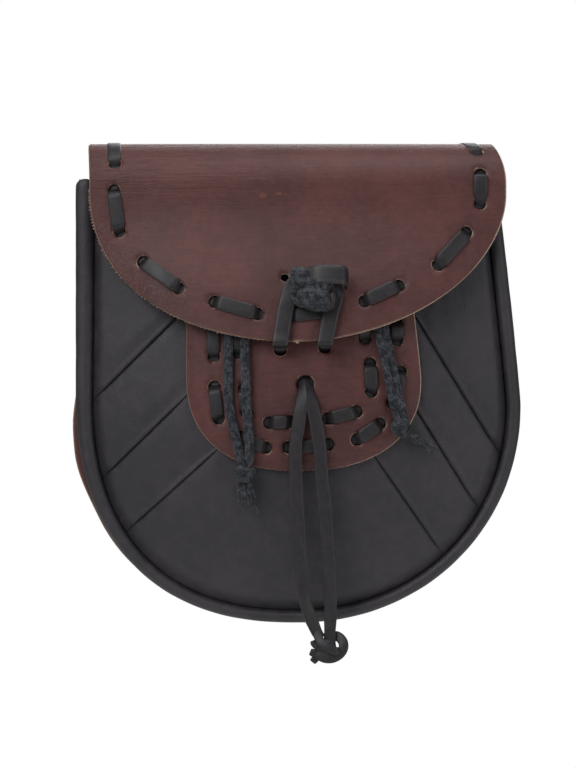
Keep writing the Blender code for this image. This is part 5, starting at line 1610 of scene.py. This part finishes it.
def knot_button(lace, nap):
    """The knot on the flap: suede lobes and a smooth strap that folds over them, on a short neck."""
    x, drop = front_place(BUTTON_PLACE, FLAP_REACH, FLAP_DROP)
    centre, outward = frame_at(wrap_middle, x, 90.0 + drop)
    base = centre + outward * (WRAP_WALL / 2 + GAP)
    right = unit(np.array([1.0, 0.0, 0.0]) - outward * outward[0])
    up = np.cross(right, -outward)
    neck = base - up * NECK_SAG + outward * np.linspace(0.0, BUTTON_NECK_HEIGHT, NECK_ROWS)[:, None]
    neck_width = 2 * BUTTON_NECK_RADIUS
    strips = [strip(neck, np.tile(right, (len(neck), 1)), neck_width, neck_width, NECK_SECTION)]
    numbers = [1]
    for number, lobe in enumerate(BUTTON_LOBES):
        angle = np.radians(lobe.degrees)
        lobe_right = right * np.cos(angle) + up * np.sin(angle)
        lobe_up = up * np.cos(angle) - right * np.sin(angle)
        axes = (lobe_right, lobe_up, outward)
        middle = base + right * lobe.right + up * (lobe.up - BUTTON_SAG) + outward * lobe.out
        radii = (lobe.half_width, lobe.half_height, lobe.half_depth)
        lumps = SMOOTH_LUMPS if lobe.look else SUEDE_LUMPS
        strips.append(ball(middle, axes, radii, lumps, 30 + number))
        numbers.append(lobe.look)
    route = np.array(BUTTON_STRAP)
    rise = route[:, 1:2] - BUTTON_SAG
    points = base + route[:, :1] * right + rise * up + route[:, 2:] * outward
    line, _ = smooth_line(points, STRAP_SPACING)
    sides = np.tile(up, (len(line), 1))
    strips.append(strip(line, sides, BUTTON_STRAP_WIDTH, BUTTON_STRAP_THICKNESS, BUTTON_STRAP_SECTION))
    numbers.append(1)
    strips_piece("tied_button", strips, [nap, lace], numbers, ["knot_button"])
    rough = np.concatenate([part.points for part, look in zip(strips, numbers) if look == 0])
    middle = base + outward * BUTTON_NECK_HEIGHT
    surface_nap("button_nap", rough, middle, BUTTON_FIBRES, NAP_REACH, nap, "suede_cord", 7)


def belt_loop(name, node, side, brown, edge):
    """A loop on the back: two feet, two slopes and a raised middle, with its corners rounded."""
    rest = -(BACK_FACE - GAP - LOOP_WALL / 2)
    raised = BELT_ROOM / 2 + LOOP_WALL / 2
    half = LOOP_CLEAR_HEIGHT / 2
    heights = np.linspace(-half - LOOP_FOOT, half + LOOP_FOOT, LOOP_ROWS)
    climb = (half - np.abs(heights)) / LOOP_RISE
    y = mix(rest, raised, mix(np.clip(climb, 0.0, 1.0), smooth(climb), 0.5))
    across = mix(-LOOP_WIDTH / 2, LOOP_WIDTH / 2, edge_dense(LOOP_COLUMNS, LOOP_CROWDING))
    tip = np.clip((half + LOOP_FOOT - np.abs(heights)) / LOOP_CORNER, 0.0, 1.0)
    narrowed = 1.0 - LOOP_NARROWING * (1.0 - np.sqrt(1.0 - (1.0 - tip) ** 2))
    x = side * LOOP_SPREAD + across[None, :] * narrowed[:, None]
    grid = np.stack(np.broadcast_arrays(x, y[:, None], heights[:, None]), axis=-1)
    leather_wall(name, grid, LOOP_WALL, [brown, edge], node, rounding=LOOP_ROUNDING)


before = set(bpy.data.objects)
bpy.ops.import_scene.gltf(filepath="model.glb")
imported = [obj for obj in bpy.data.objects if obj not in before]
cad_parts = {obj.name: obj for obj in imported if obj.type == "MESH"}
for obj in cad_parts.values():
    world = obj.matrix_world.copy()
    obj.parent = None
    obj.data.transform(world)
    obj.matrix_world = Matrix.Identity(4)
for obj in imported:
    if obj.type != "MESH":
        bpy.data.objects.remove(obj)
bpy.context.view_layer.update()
camera()
lace_look = black_lace()
suede_look = suede()
thongs_and_cords(lace_look, suede_look)
studio()
brown_look = brown_leather()
edge_look = raw_edge()
black_look = black_leather()
wrap(brown_look, edge_look)
bib(brown_look, edge_look)
front_panel(black_look)
gusset(black_look)
binding(black_look)
running_lace("flap_running_lace", "flap_lace", wrap_middle, WRAP_WALL, flap_holes(), FLAP_LACE_WIDTH,
             FOLD_PRESS, lace_look)
for row_name, stitches in (("outer", BIB_OUTER_STITCHES), ("inner", BIB_INNER_STITCHES)):
    running_lace(f"bib_running_lace_{row_name}", f"bib_{row_name}_lace", bib_middle, BIB_WALL,
                 stitch_holes(BIB, stitches), BIB_LACE_WIDTH, 0.0, lace_look)
closure(lace_look)
knot_button(lace_look, suede_look)
for loop_name, loop_side in (("left", -1), ("right", 1)):
    belt_loop(f"leather_loop_{loop_name}", f"belt_loop_{loop_name}", loop_side, brown_look, edge_look)
